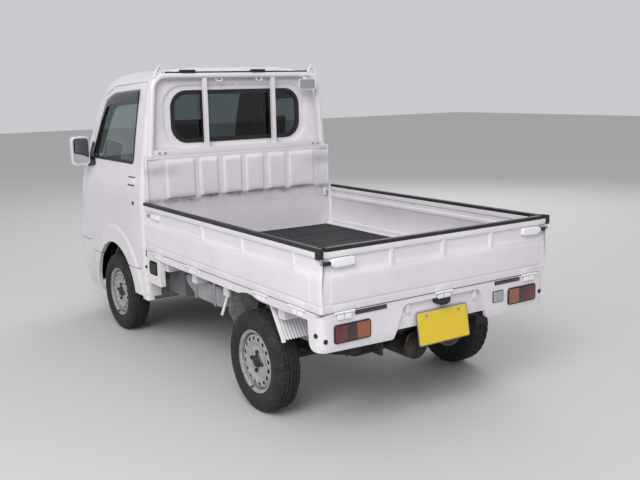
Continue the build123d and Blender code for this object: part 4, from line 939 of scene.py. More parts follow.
# Silvered glass of the mirrors: it shows what stands behind the truck.
silvered_glass = surface_finish("silvered_glass", "#c9ccd2", {"Roughness": 0.04, "Metallic": 1.0})
# Moulded black plastic of mirror feet and lamp bezels: matt, with a faint grain. Strips of it beside the
# door handles are painted shade for the handles' gaps.
moulded_black = surface_finish(
    "moulded_black_plastic", "#1d1d20", {"Roughness": 0.5}, None, (0.0012, 2.0, 0.25, 0.0002)
)

MIRROR = ((1.240, 0.795, 1.232), (0.070, 0.130, 0.205))
MIRROR_DOME = (
    (-0.035, 0.93), (-0.031, 0.985), (-0.022, 1.0), (0.002, 0.985), (0.018, 0.93), (0.029, 0.80),
    (0.035, 0.52),
)
MIRROR_FOOT = rounded(((1.196, 1.128), (1.328, 1.110), (1.334, 1.140), (1.262, 1.300), (1.240, 1.262)), 0.010, 4)
HANDLE = rectangle(0.456, 1.048, 0.564, 1.087, 0.012, 5)
for name, side in SIDES:
    body = f"door_{name}"
    left = side > 0
    skin = pressed(
        f"door_skin_{name}", [stepped(door_outline), window_outline], door_seeds,
        side_of(0.0, side), white_enamel, body, "body_white", 0.030, trim_board, left,
    )
    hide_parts(f"door_{name}")
    pane = pressed(
        f"door_pane_{name}", [window_outline], lattice(window_outline, 0.05),
        side_of(0.012, side), toughened_glass, body, "glass", 0.004, None, left,
    )
    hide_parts(f"door_glass_{name}")
    pressed(
        f"window_seal_{name}", [band(turned_left(window_outline), -0.004), band(turned_left(window_outline), 0.014)],
        [], side_of(-0.003, side), extruded_rubber, body, "mat_rubber", 0.010, None, left,
    )

    visor_rings = []
    top = [(1.262, 1.215), (1.205, 1.318), (1.148, 1.440), (1.095, 1.545), (1.066, 1.588), (0.998, 1.612),
           (0.925, 1.631), (0.780, 1.640), (0.620, 1.647), (0.492, 1.652)]
    low = [(1.205, 1.215), (1.142, 1.318), (1.083, 1.430), (1.034, 1.500), (1.008, 1.535), (0.960, 1.548),
           (0.905, 1.556), (0.780, 1.563), (0.620, 1.568), (0.500, 1.570)]
    top, low = stepped(top, 0.03, False), stepped(low, 0.03, False)
    count = min(len(top), len(low))
    for i in range(count):
        outer, lower = (line[round(i * (len(line) - 1) / (count - 1))] for line in (top, low))
        ring = []
        for share, lift in (
            (0.0, 0.003), (0.3, 0.012), (0.7, 0.019), (1.0, 0.021), (1.0, 0.018), (0.7, 0.016), (0.3, 0.009),
            (0.0, 0.000),
        ):
            x, z = (outer[k] + (lower[k] - outer[k]) * share for k in (0, 1))
            ring.append(side_of(-lift, side)(x, z))
        visor_rings.append(ring)
    lofted(f"visor_{name}", visor_rings, smoked_acrylic, body, "glass", 60)

    pressed(
        f"mirror_foot_{name}", [stepped(MIRROR_FOOT, 0.01)], [], side_of(-0.009, side), moulded_black, body,
        "trim_plastic", 0.010, None, left,
    )
    (mx, my, mz), (dx, dy, dz) = MIRROR
    shape = rectangle(-dy / 2, -dz / 2, dy / 2, dz / 2, 0.030)
    dome = [
        [Vector((mx + x, side * (my + y * grow), mz + z * grow)) for y, z in shape] for x, grow in MIRROR_DOME
    ]
    housing = lofted(f"mirror_housing_{name}", dome, white_enamel, body, "body_white", 35)
    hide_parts(f"mirror_{name}")
    face = [[Vector((mx + x, side * (my + y * grow), mz + z * grow)) for y, z in shape] for x, grow in (
        (-0.0365, 0.82), (-0.0362, 0.86), (-0.034, 0.865))]
    lofted(f"mirror_glass_{name}", face, silvered_glass, body, "glass", 35)
    arm = [
        Vector((1.262, side * (eased_curve(CAB_SIDE, 1.17) + 0.002), 1.170)), Vector((1.252, side * 0.722, 1.178)),
        Vector((1.245, side * 0.742, 1.190)), Vector((1.243, side * 0.760, 1.206)),
    ]
    tube(f"mirror_arm_{name}", arm, 0.012, moulded_black, body)

    # Black strips just above and below the handle: painted shade in the gaps round the paddle.
    for edge, z in (("upper", 1.094), ("lower", 1.041)):
        gap_shade = [
            [side_of(depth, side)(x, z + high) for x, high in (
                (0.458, -0.0035), (0.562, -0.0035), (0.566, 0.0), (0.562, 0.0035), (0.458, 0.0035), (0.454, 0.0))]
            for depth in (0.002, -0.0012)
        ]
        lofted(f"handle_gap_shade_{edge}_{name}", gap_shade, moulded_black, body, "trim_plastic", 35)
    paddle = [
        [side_of(depth, side)(x, z) for x, z in shrunk(HANDLE, (0.510, 1.0675), grow)]
        for depth, grow in ((0.000, 1.0), (-0.005, 0.99), (-0.008, 0.94), (-0.009, 0.82))
    ]
    lofted(f"door_handle_{name}", paddle, white_enamel, body, "body_white", 35)
    key = [[side_of(depth, side)(*p) for p in circle(0.476, 0.929, radius, 20)]
           for depth, radius in ((0.0, 0.013), (-0.003, 0.013), (-0.004, 0.011), (-0.0032, 0.0045))]
    lofted(f"door_key_{name}", key, moulded_black, body, "trim_plastic", 35)

    rest = [
        [Vector((x, side * (eased_curve(CAB_SIDE, z) - 0.030 - depth), z)) for x, z in rounded(
            ((0.62, 0.90), (1.02, 0.90), (1.04, 0.96), (0.62, 0.95)), 0.018, 4)]
        for depth in (0.0, 0.045, 0.052)
    ]
    lofted(f"door_armrest_{name}", rest, moulded_black, body, "trim_plastic", 40)
    crank_base = Vector((0.82, side * (eased_curve(CAB_SIDE, 1.02) - 0.034), 1.02))
    tube(f"window_crank_{name}", [
        crank_base, crank_base + Vector((0, -side * 0.022, 0)), crank_base + Vector((-0.06, -side * 0.026, -0.05)),
        crank_base + Vector((-0.062, -side * 0.055, -0.052)),
    ], 0.006, moulded_black, body)

# Windscreen and rear window: glass in one bent sheet and in three flat panes, each in a fat black
# rubber seal that grips the panel's edge. The middle rear pane slides, and has a catch.
screen_pane = pressed(
    "windscreen_pane", [screen_outline], lattice(screen_outline, 0.03), sunk(skin_point, 0.011), toughened_glass,
    "root", "glass", 0.005,
)
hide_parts("windscreen")
pressed(
    "windscreen_seal", [band(screen_outline, -0.006), band(screen_outline, 0.016)], [], sunk(skin_point, -0.003),
    extruded_rubber, "root", "mat_rubber", 0.010,
)


def behind(depth):
    """The cab's flat back, sunk by a depth; y and z."""
    return lambda y, z: Vector((CAB_REAR + FIELD_DEPTH + depth, y, z))


back_edge = stepped(rectangle(-0.477, 1.312, 0.477, 1.632, 0.105, 8))
back_pane = pressed("rear_pane", [back_edge], [], behind(0.005), tinted_glass, "root", "glass", 0.004, None, True)
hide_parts("rear_window")
pressed(
    "rear_window_seal", [band(back_edge, -0.008), band(back_edge, 0.020)], [], behind(-0.006), extruded_rubber,
    "root", "mat_rubber", 0.016, None, True,
)
for y in (-0.255, 0.255):
    bevelled_box(
        f"rear_divider_{'left' if y > 0 else 'right'}", (0.338, y - 0.011, 1.326), (0.360, y + 0.011, 1.618), 0.003,
        moulded_black, "root", "trim_plastic",
    )
bevelled_box(
    "rear_pane_catch", (0.352, -0.255, 1.43), (0.364, -0.225, 1.50), 0.003, moulded_black, "root",
    "trim_plastic",
)

# Bed floor: a pressed steel deck on ribs with a sill along each side, welded and enamelled white, and a
# raised bead along each gate. The grey low on the front wall and the deck, up to a dark line, is partly
# rubbing by loads and partly painted shade; patches on the wall's flanks are rubbing marks.
rubbed_and_shaded_enamel = white_enamel.copy()
rubbed_and_shaded_enamel.name = "rubbed_and_shaded_white_enamel"
tree = rubbed_and_shaded_enamel.node_tree
shader = tree.nodes["Principled BSDF"]
clean = shader.inputs["Base Color"].links[0].from_socket
place = add(tree, "ShaderNodeTexCoord").outputs["Object"]
height = add(tree, "ShaderNodeSeparateXYZ", {}, {"Vector": place})
wander = add(tree, "ShaderNodeTexNoise", {"Scale": 4.0, "Detail": 3.0}, {"Vector": place})
wavy = add(
    tree, "ShaderNodeMath", {"operation": "MULTIPLY_ADD", 1: 0.06},
    {0: wander.outputs["Fac"], 2: height.outputs["Z"]},
)
share = add(
    tree, "ShaderNodeMapRange", {"From Min": 0.70, "From Max": 1.30, "To Min": 0.0, "To Max": 1.0},
    {"Value": wavy.outputs[0]},
)
# The band grows grey up to a dark line below the wall's panels: rubbing marks and painted shade together.
rubbed_and_shaded_band = add(
    tree, "ShaderNodeValToRGB",
    {"stops": ((0.05, "#3c3c3c"), (0.30, "#585858"), (0.42, "#a0a0a0"), (0.468, "#ffffff"), (0.505, "#3c3c3c"),
               (0.62, "#262626"), (0.95, "#1a1a1a"))},
    {"Fac": share.outputs[0]},
)
aside = add(tree, "ShaderNodeMath", {"operation": "ABSOLUTE"}, {0: height.outputs["Y"]})
flank = add(
    tree, "ShaderNodeMapRange", {"interpolation_type": "SMOOTHSTEP", "From Min": 0.40, "From Max": 0.62},
    {"Value": aside.outputs[0]},
)
level = add(tree, "ShaderNodeMath", {"operation": "SUBTRACT", 1: 1.165}, {0: wavy.outputs[0]})
near = add(tree, "ShaderNodeMath", {"operation": "ABSOLUTE"}, {0: level.outputs[0]})
patch = add(
    tree, "ShaderNodeMapRange",
    {"interpolation_type": "SMOOTHSTEP", "From Min": 0.060, "From Max": 0.0, "To Min": 0.0, "To Max": 0.5},
    {"Value": near.outputs[0]},
)
corner_rub = add(tree, "ShaderNodeMath", {"operation": "MULTIPLY"}, {0: flank.outputs[0], 1: patch.outputs[0]})
both = add(
    tree, "ShaderNodeMath", {"operation": "MAXIMUM"}, {0: rubbed_and_shaded_band.outputs["Color"], 1: corner_rub.outputs[0]}
)
streak = add(tree, "ShaderNodeTexNoise", {"Scale": 14.0, "Detail": 9.0, "Roughness": 0.7}, {"Vector": place})
broken = add(
    tree, "ShaderNodeMapRange", {"From Min": 0.30, "From Max": 0.66, "To Min": 0.25, "To Max": 0.95},
    {"Value": streak.outputs["Fac"]},
)
amount = add(tree, "ShaderNodeMath", {"operation": "MULTIPLY"}, {0: both.outputs[0], 1: broken.outputs[0]})
rubbed_and_shaded = add(
    tree, "ShaderNodeMix", {"data_type": "RGBA", 7: linear("#6c6a74")}, {0: amount.outputs[0], 6: clean}
)
tree.links.new(rubbed_and_shaded.outputs[2], shader.inputs["Base Color"])

eased("bed_floor", rubbed_and_shaded_enamel)
for name, side in SIDES:
    bead = [
        [Vector((x, side * y, z)) for y, z in (
            (0.656, 0.6655), (0.662, 0.676), (0.668, 0.681), (0.690, 0.6815), (0.6925, 0.679), (0.6925, 0.6655))]
        for x in (-1.640, 0.284)
    ]
    lofted(f"bed_side_bead_{name}", bead, rubbed_and_shaded_enamel, "root", "body_white", 30)

# Bed front wall: one sheet with six pressed panels, its sides and head folded, spot welded to the
# floor and painted with it.
WALL_X = 0.288
WALL_PANELS = ((0.015, 0.153), (0.190, 0.326), (0.358, 0.562))
WALL_PANEL_Z = (0.957, 1.208)


def wall_point(y, z):
    """A point of the wall's rear face; the panels stand towards the bed, the flanks lie back."""
    inside = 0.0
    for low, high in WALL_PANELS:
        edge = min(abs(y) - low, high - abs(y), (WALL_PANEL_Z[1] - z) * 0.7, z - WALL_PANEL_Z[0])
        inside = max(inside, min(edge / 0.013, 1.0))
    flank = max(0.0, min((abs(y) - 0.592) / 0.022, 1.0))
    ease = inside * inside * (3 - 2 * inside)
    return Vector((WALL_X - 0.014 * ease + 0.007 * flank * flank * (3 - 2 * flank), y, z))


wall_outline = stepped([(-0.690, 0.666), (0.690, 0.666), (0.690, 1.235), (-0.690, 1.235)], 0.03)
wall_seeds = lattice(wall_outline, 0.03) + [
    (sign * (edge + step), z / 1000) for sign in (-1, 1) for low, high in WALL_PANELS for edge in (low, high)
    for step in (-0.013, -0.007, 0.0, 0.007, 0.013) for z in range(940, 1226, 14)
] + [
    (y / 1000, z + step) for y in range(-580, 581, 14)
    for z, reach in ((WALL_PANEL_Z[0], 1.0), (WALL_PANEL_Z[1], -1.4))
    for step in (0.0, 0.004 * reach, 0.009 * reach, 0.013 * reach)
]
wall = pressed(
    "bed_front_wall_skin", [wall_outline], wall_seeds, wall_point, rubbed_and_shaded_enamel, "root", "body_white", 0.004,
    None, True,
)
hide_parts("bed_front_wall")
bevelled_box("wall_head", (0.287, -0.690, 1.214), (0.3265, 0.690, 1.2345), 0.003, rubbed_and_shaded_enamel, "root", "body_white")
for name, side in SIDES:
    bevelled_box(
        f"wall_side_{name}", (0.286, side * 0.687 - 0.004, 0.667), (0.326, side * 0.687 + 0.004, 1.2345), 0.002,
        rubbed_and_shaded_enamel, "root", "body_white",
    )

# Rubber mat: a thick ribbed sheet laid loose on the deck, wavy from lying, its edges a little
# raised.
def mat_point(x, y):
    """A point of the mat's upper face."""
    wave = math.sin(x * 9.0 + 2.0 * math.sin(y * 5.0)) * math.cos(y * 7.0 + x * 3.0)
    rim = max(abs(y) - 0.62, 0.0) / 0.03 + max(abs(x + 0.68) - 0.92, 0.0) / 0.03
    return Vector((x, y, 0.6735 + 0.0016 * wave + 0.0015 * min(rim, 1.0)))


mat_outline = stepped(rectangle(-1.630, -0.650, 0.268, 0.650, 0.012, 3), 0.05)
mat = pressed(
    "bed_mat_sheet", [mat_outline], lattice(mat_outline, 0.045), mat_point, rubber, "root", "mat_rubber", 0.005
)
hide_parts("bed_mat")
for i, x in enumerate((-1.55, -1.25, -0.95, -0.65, -0.35, -0.05, 0.20)):
    tube(
        f"mat_rib_{i}", [mat_point(x, y / 100) + Vector((0, 0, -0.0008)) for y in range(-63, 64, 3)], 0.0025,
        rubber, "root",
    )

# Drop sides: steel sheet pressed with a crest, a sunk band and a folded lip, spot welded to an inner
# sheet; gussets in the band, a lever latch sunk in its front end, hung on bolted leaf hinges.
# Section as distance out and height, from the lower edge up the outside; b marks the bulge, u the band
GATE_OUTER = (
    (0.7285, 0.6570, ""), (0.7290, 0.6585, ""), (0.7290, 0.6880, ""), (0.7276, 0.6900, ""), (0.7276, 0.6930, ""),
    (0.7292, 0.6955, "b"), (0.7308, 0.6990, "b"), (0.7313, 0.7040, "b"), (0.7314, 0.7100, "b"), (0.7317, 0.7600, "b"),
    (0.7316, 0.8000, "b"), (0.7312, 0.8090, "b"), (0.7302, 0.8160, "b"), (0.7286, 0.8225, "b"), (0.7262, 0.8300, "u"),
    (0.7234, 0.8380, "u"), (0.7212, 0.8450, "u"), (0.7200, 0.8520, "u"), (0.7196, 0.8580, "u"), (0.7196, 0.8990, "u"),
    (0.7202, 0.9030, "u"), (0.7238, 0.9065, "u"), (0.7280, 0.9080, ""), (0.7292, 0.9105, ""), (0.7292, 0.9335, ""),
    (0.7280, 0.9358, ""),
)
GATE_INNER = (
    (0.7015, 0.9358), (0.7000, 0.9340), (0.7000, 0.9120), (0.7030, 0.9080), (0.7060, 0.9040), (0.7060, 0.8850),
    (0.7035, 0.8810), (0.7010, 0.8770), (0.7010, 0.8620), (0.7040, 0.8570), (0.7070, 0.8510), (0.7070, 0.7060),
    (0.7040, 0.7000), (0.7005, 0.6950), (0.7000, 0.6590), (0.7015, 0.6572),
)


def gate_rings(marks, place):
    """Sections along a gate; each mark is a place along it and a kind of section there."""
    rings = []
    for along, kind in marks:
        ring = []
        for out, z, row in GATE_OUTER:
            if kind == "rib" and row == "u":
                out = max(out, 0.7285)
            elif kind == "pocket" and row == "u" and 0.845 < z < 0.904:
                out = 0.7160
            elif kind == "flat" and row == "b":
                out -= 0.0028
            elif kind.startswith("corner"):
                out -= float(kind[6:])
            ring.append(place(along, out, z))
        for out, z in GATE_INNER:
            ring.append(place(along, max(out, 0.7148) if kind.startswith("corner") else out, z))
        rings.append(ring)
    return rings


def gusset(along):
    """Marks of a gusset in the band."""
    return [(along + 0.014, ""), (along + 0.008, "rib"), (along - 0.008, "rib"), (along - 0.014, "")]


SIDE_LEVER = rounded(((0.068, 0.863), (0.176, 0.863), (0.182, 0.877), (0.176, 0.891), (0.068, 0.891)), 0.005, 3)
LEVER_MIDDLE = (0.122, 0.877)
side_marks = (
    [(0.2750, ""), (0.2450, ""), (0.2410, "pocket"), (0.0540, "pocket"), (0.0500, "")]
    + gusset(-0.525) + gusset(-0.977) + gusset(-1.465) + [(-1.6040, ""), (-1.6080, "flat"), (-1.6500, "flat")]
    + [(-1.6510, "corner0"), (-1.6760, "corner0"), (-1.6840, "corner0.0012"), (-1.6890, "corner0.0040"),
       (-1.6925, "corner0.0090")]
)
tail_marks = (
    [(0.7130, "flat"), (0.6740, "flat"), (0.6700, "")] + gusset(0.322) + gusset(0.0) + gusset(-0.322)
    + [(-0.6700, ""), (-0.6740, "flat"), (-0.7130, "flat")]
)


def on_side(side):
    """Places a drop side's point on the left (1) or right (-1)."""
    return lambda along, out, z: Vector((along, side * out, z))


def on_tail(along, out, z):
    """Places a drop side's point at the tail."""
    return Vector((-0.960 - out, along, z))


STUD_SIDES = 12


def studs(name, places, along, radius, length, finish, body, slot):
    """Bolt heads or pins: small turned pieces with rounded ends, in one mesh."""
    along = Vector(along).normalized()
    across = along.orthogonal().normalized()
    other = along.cross(across)
    points, faces = [], []
    for at in places:
        for reach, share in ((0.0, 1.0), (0.72, 1.0), (0.92, 0.90), (1.0, 0.66)):
            for i in range(STUD_SIDES):
                angle = math.tau * i / STUD_SIDES
                points.append(
                    Vector(at) + along * length * reach
                    + (across * math.cos(angle) + other * math.sin(angle)) * radius * share
                )
        base = len(points) - 4 * STUD_SIDES
        for row in range(3):
            for i in range(STUD_SIDES):
                a = base + row * STUD_SIDES + i
                b = base + row * STUD_SIDES + (i + 1) % STUD_SIDES
                faces.append((a, b, b + STUD_SIDES, a + STUD_SIDES))
        faces.append(tuple(base + 3 * STUD_SIDES + i for i in range(STUD_SIDES)))
    return place_piece(name, make_mesh(name, points, faces, finish, 50), body, slot)


# Zinc plated steel of the hinge bolts, latch pins and strikers: dull silver
zinc_plate = surface_finish("zinc_plated_steel", "#b4b4b8", {"Roughness": 0.38, "Metallic": 1.0})
# Leaves and levers: white enamel over steel, coloured lighter than the panels round them: a painted
# highlight for the shine these small parts catch
highlit_enamel = surface_finish("highlit_white_enamel", "#efedf0", {"Roughness": 0.28, "Coat Weight": 0.4})

SIDE_HINGES = (0.087, -0.391, -1.166, -1.500)
TAIL_HINGES = (0.600, 0.0, -0.600)


def hinge(name, along, half, place, body):
    """A leaf hinge: the gate's leaf and knuckle, and the two raised halves that are bolted to the sill."""
    leaf = [
        [place(along + a, out, z) for a, z in (
            (inset - half, 0.6600 + inset), (half - inset, 0.6600 + inset), (half - inset, 0.6880 - inset),
            (inset - half, 0.6880 - inset))]
        for out, inset in ((0.7285, 0.0), (0.7305, 0.0), (0.7312, 0.0015))
    ]
    lofted(f"{name}_leaf", leaf, white_enamel, body, "body_white", 30)
    tube(f"{name}_knuckle", [place(along - half / 2, 0.7325, 0.651), place(along + half / 2, 0.7325, 0.651)], 0.0058,
         highlit_enamel, body)
    for label, end in (("a", 1), ("b", -1)):
        tube(
            f"{name}_fixed_knuckle_{label}",
            [place(along + end * (half / 2 + 0.0012), 0.7325, 0.651), place(along + end * half, 0.7325, 0.651)],
            0.0058, highlit_enamel, "root",
        )
        middle = along + end * half * 0.36
        raised = [
            [place(middle + a * grow, out, 0.6315 + z * grow) for a, z in rectangle(
                -half * 0.32, -0.0125, half * 0.32, 0.0125, 0.004, 3)]
            for out, grow in ((0.7255, 1.0), (0.7325, 1.0), (0.7345, 0.96), (0.7350, 0.86))
        ]
        lofted(f"{name}_half_{label}", raised, highlit_enamel, "root", "body_white", 30)
    studs(f"{name}_bolt", [place(along, 0.7260, 0.6315)], place(0, 1, 0) - place(0, 0, 0), 0.0045, 0.007, zinc_plate,
          "root", "frame_paint")


for name, side in SIDES:
    body = f"gate_{name}"
    gate = lofted(f"gate_skin_{name}", gate_rings(side_marks, on_side(side)), white_enamel, body, "body_white", 28)
    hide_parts(body)
    for i, x in enumerate(SIDE_HINGES):
        hinge(f"side_hinge_{name}_{i}", x, 0.060, on_side(side), body)
    lever = [
        [on_side(side)(x, out, z) for x, z in shrunk(SIDE_LEVER, LEVER_MIDDLE, grow)]
        for out, grow in ((0.7160, 1.0), (0.7270, 1.0), (0.7292, 0.97), (0.7298, 0.90))
    ]
    lofted(f"side_lever_{name}", lever, highlit_enamel, body, "body_white", 30)
    bevelled_box(
        f"side_catch_{name}", (0.190, side * 0.7155, 0.868), (0.236, side * 0.7265, 0.886), 0.003, zinc_plate, body,
        "frame_paint",
    )
    studs(
        f"gate_pin_{name}", [(-1.6925, side * 0.7225, 0.890)], (-1, 0, 0), 0.0085, 0.006, zinc_plate, body,
        "frame_paint",
    )
    bevelled_box(
        f"corner_cap_{name}", (-1.7035, side * 0.7150, 0.908), (-1.6620, side * 0.7365, 0.9565), 0.004,
        extruded_rubber, body, "mat_rubber",
    )
    studs(
        f"striker_{name}", [(0.281, side * 0.663, 0.905)], (-1, 0, 0), 0.010, 0.016, zinc_plate, "root",
        "frame_paint",
    )
    bevelled_box(
        f"striker_plate_{name}", (0.277, side * 0.640, 0.880), (0.284, side * 0.668, 0.930), 0.002, highlit_enamel,
        "root", "body_white",
    )

gate = lofted("tailgate_skin", gate_rings(tail_marks, on_tail), white_enamel, "tailgate", "body_white", 28)
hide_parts("tailgate")
for i, y in enumerate(TAIL_HINGES):
    hinge(f"tail_hinge_{i}", y, 0.055, on_tail, "tailgate")
TAIL_LEVER = rounded(
    ((0.540, 0.865), (0.648, 0.862), (0.679, 0.878), (0.679, 0.890), (0.652, 0.903), (0.540, 0.903)),
    (0.012, 0.012, 0.004, 0.004, 0.012, 0.012), 5,
)
for name, side in SIDES:
    lever = [
        [on_tail(side * y, out, z) for y, z in shrunk(TAIL_LEVER, (0.605, 0.883), grow)]
        for out, grow in (
            (0.7225, 1.04), (0.7290, 1.03), (0.7292, 1.0), (0.7370, 0.99), (0.7395, 0.94), (0.7402, 0.84),
        )
    ]
    lofted(f"tail_lever_{name}", lever, highlit_enamel, "tailgate", "body_white", 30)
    bevelled_box(
        f"tail_lever_link_{name}", (-1.7005, side * 0.672, 0.876), (-1.6830, side * 0.7115, 0.893), 0.003,
        moulded_black, "tailgate", "trim_plastic",
    )

# Rubber strips on the gates' top edges: extruded with a slot and pushed over the folded steel, one
# length to a gate.
for node in ("gate_rail_left", "gate_rail_right", "tailgate_rail"):
    eased(node, extruded_rubber, 0.004)

# Rear panel: one pressed sheet from corner to corner, rounded into the sides, with a niche for the
# number plate, punched for the lamps and plugged where no wire passes.
TAIL_X = -1.684
TAIL_SIDE = 0.7285
TAIL_R = 0.040
TAIL_FLAT = TAIL_SIDE - TAIL_R
TAIL_TURN = TAIL_R * math.pi / 2


def tail_point(run, z):
    """A point of the rear panel, by its run along the level from the middle."""
    side, along = (1 if run >= 0 else -1), abs(run)
    lean = 0.010 * max(0.0, (0.520 - z) / 0.060) ** 2
    if along <= TAIL_FLAT:
        return Vector((TAIL_X + lean, run, z))
    if along <= TAIL_FLAT + TAIL_TURN:
        angle = (along - TAIL_FLAT) / TAIL_R
        return Vector((
            TAIL_X + lean + TAIL_R * (1 - math.cos(angle)),
            side * (TAIL_FLAT + TAIL_R * math.sin(angle) - lean * 0.4), z
        ))
    return Vector((TAIL_X + TAIL_R + lean + along - TAIL_FLAT - TAIL_TURN, side * (TAIL_SIDE - lean * 0.4), z))


TAIL_END = TAIL_FLAT + TAIL_TURN + 0.052
tail_half = rounded(
    (
        (0.0, 0.626), (0.247, 0.626), (0.306, 0.462), (TAIL_END, 0.474), (TAIL_END + 0.010, 0.6085),
        (TAIL_FLAT, 0.6500),
    ),
    (0, 0.040, 0.010, 0.045, 0.004, 0), 7,
)
tail_half = stepped(tail_half, 0.02, False)
tail_top = stepped([tail_half[-1], (-tail_half[-1][0], tail_half[-1][1])], 0.03, False)[1:-1]
tail_outline = tail_half + tail_top + [(-run, z) for run, z in reversed(tail_half[1:])]
rear_skin = pressed(
    "rear_panel_skin", [tail_outline], lattice(tail_outline, 0.018), tail_point, white_enamel, "root",
    "body_white", 0.022, None, True,
)
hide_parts("rear_panel")
bevelled_box(
    "plate_niche", (-1.664, -0.300, 0.500), (-1.656, 0.300, 0.648), 0.003, white_enamel, "root", "body_white",
)
for i, y in enumerate((0.215, -0.225)):
    bevelled_box(
        f"niche_bracket_{i}", (-1.676, y - 0.012, 0.575), (-1.662, y + 0.012, 0.622), 0.003, white_enamel, "root",
        "body_white",
    )
for name, run, z, along in (
    ("left", 0.700, 0.527, (-1, 0, 0)), ("corner", 0.748, 0.552, (-0.3, 1, 0)), ("right", -0.690, 0.545, (-1, 0, 0)),
):
    studs(f"panel_plugs_{name}", [tail_point(run, z)], along, 0.0115, 0.0035, extruded_rubber, "root", "mat_rubber")

# Tail lamps: black bezels with red and amber acrylic lenses, fluted inside; a clear reversing lamp and
# two red reflector strips, all screwed to the rear panel.
clear_lens, tree, shader, place = new_finish(
    "clear_acrylic", "#c9cccb", {"Roughness": 0.10, "Transmission Weight": 0.35, "IOR": 1.49}
)
flutes = add(tree, "ShaderNodeTexWave", {"Scale": 1 / 0.022, "bands_direction": "Y"}, {"Vector": place})
relief = add(tree, "ShaderNodeBump", {"Strength": 0.6, "Distance": 0.002}, {"Height": flutes.outputs["Fac"]})
tree.links.new(relief.outputs["Normal"], shader.inputs["Normal"])
lens_colours = {}
for name, colour in (("red", "#62141c"), ("dark_red", "#330f1a"), ("amber", "#96512a")):
    lens, tree, shader, place = new_finish(
        f"{name}_acrylic", colour, {"Roughness": 0.14, "Coat Weight": 0.8, "Coat Roughness": 0.04}
    )
    flutes = add(tree, "ShaderNodeTexWave", {"Scale": 1 / 0.016, "bands_direction": "Y"}, {"Vector": place})
    relief = add(tree, "ShaderNodeBump", {"Strength": 0.5, "Distance": 0.0015}, {"Height": flutes.outputs["Fac"]})
    tree.links.new(relief.outputs["Normal"], shader.inputs["Normal"])
    lens_colours[name] = lens


def tail_slab(name, low, high, z, radius, depths, finish, slot):
    """A flat rounded slab on the rear panel, its edge eased; depths from its foot to its crown."""
    low, high = sorted((low, high))
    middle, centre = (low + high) / 2, (z[0] + z[1]) / 2
    outline = rectangle(low, z[0], high, z[1], radius, 5)
    rings = []
    for depth, inset in (
        (depths[0], 0.0), (depths[1] - 0.002, 0.0), (depths[1] - 0.0006, 0.0008), (depths[1], 0.0024),
    ):
        rings.append([
            Vector((TAIL_X - depth, y - math.copysign(inset, y - middle), h - math.copysign(inset, h - centre)))
            for y, h in outline
        ])
    return lofted(name, rings, finish, "root", slot, 35)


for name, side in SIDES:
    tail_slab(
        f"tail_bezel_{name}", side * 0.449, side * 0.656, (0.507, 0.596), 0.014, (-0.001, 0.007), moulded_black,
        "trim_plastic",
    )
    for colour, low, high in (("amber", 0.4555, 0.5290), ("dark_red", 0.5300, 0.5810), ("red", 0.5820, 0.6500)):
        tail_slab(
            f"tail_lens_{colour}_{name}", side * low, side * high, (0.5135, 0.5895), 0.006, (0.004, 0.0095),
            lens_colours[colour], "lamp_lens",
        )
    tail_slab(
        f"reflector_bezel_{name}", side * 0.353, side * 0.535, (0.6265, 0.6465), 0.004, (-0.001, 0.004),
        moulded_black, "trim_plastic",
    )
    tail_slab(
        f"reflector_{name}", side * 0.357, side * 0.531, (0.6295, 0.6435), 0.003, (0.003, 0.0055),
        lens_colours["dark_red"], "lamp_lens",
    )
tail_slab(
    "reversing_bezel", -0.4180, -0.3400, (0.5350, 0.5960), 0.008, (-0.001, 0.004), moulded_black,
    "trim_plastic",
)
tail_slab("reversing_lens", -0.4145, -0.3435, (0.5385, 0.5925), 0.006, (0.003, 0.0075), clear_lens, "lamp_lens")
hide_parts("tail_lamps")

# Number plates: aluminium sheet with a pressed rim, painted yellow and left blank, in silver frames on
# steel brackets; a black lamp over the rear one.
plate_paint = surface_finish("yellow_plate_paint", "#e3c233", {"Roughness": 0.38})
silver_frame = surface_finish("bright_plastic_frame", "#8f9096", {"Roughness": 0.3, "Metallic": 0.6})


def plate(name, centre, outward, upward):
    """A number plate with its frame and two bolts; outward and upward are its own axes."""
    centre, outward, upward = Vector(centre), Vector(outward).normalized(), Vector(upward).normalized()
    across = upward.cross(outward)

    def slab(label, half, high, radius, depths, finish, slot):
        rings = []
        for depth, inset in ((depths[0], 0.0), (depths[1] - 0.001, 0.0), (depths[1], 0.001)):
            outline = rectangle(inset - half, inset - high, half - inset, high - inset, radius, 4)
            rings.append([centre + across * a + upward * b + outward * depth for a, b in outline])
        return lofted(f"{label}_{name}", rings, finish, "root", slot, 35)

    slab("plate_frame", 0.1665, 0.084, 0.010, (-0.0015, 0.0018), silver_frame, "plate_paint")
    face = slab("plate_face", 0.1610, 0.0785, 0.008, (0.0010, 0.0030), plate_paint, "plate_paint")
    studs(
        f"plate_bolts_{name}", [centre + across * a + upward * 0.060 + outward * 0.0025 for a in (-0.105, 0.105)],
        outward, 0.0075, 0.0035, zinc_plate, "root", "frame_paint",
    )
    return face


PLATE_TILT = 0.1745
tilt_across, tilt_up = math.cos(PLATE_TILT), math.sin(PLATE_TILT)
face = plate("rear", (-1.6875, 0.0, 0.485), (-tilt_across, 0, tilt_up), (tilt_up, 0, tilt_across))
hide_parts("number_plates")
plate("front", (1.6925, 0.0, 0.440), (1, 0, 0), (0, 0, 1))
bevelled_box(
    "rear_plate_bracket", (-1.674, -0.080, 0.505), (-1.6600, 0.080, 0.530), 0.002, chassis_paint, "root",
    "frame_paint",
)
bevelled_box(
    "front_plate_bracket", (1.660, -0.080, 0.465), (1.690, 0.080, 0.485), 0.002, chassis_paint, "root",
    "frame_paint",
)
plate_lamp = [
    [
        Vector((x, 0.005 + y * grow, z))
        for x, y in ((-1.664, -0.046), (-1.700, -0.040), (-1.700, 0.040), (-1.664, 0.046))
    ]
    for z, grow in ((0.622, 1.0), (0.606, 1.0), (0.597, 0.86), (0.588, 0.45))
]
lofted("plate_lamp", plate_lamp, moulded_black, "root", "trim_plastic", 30)

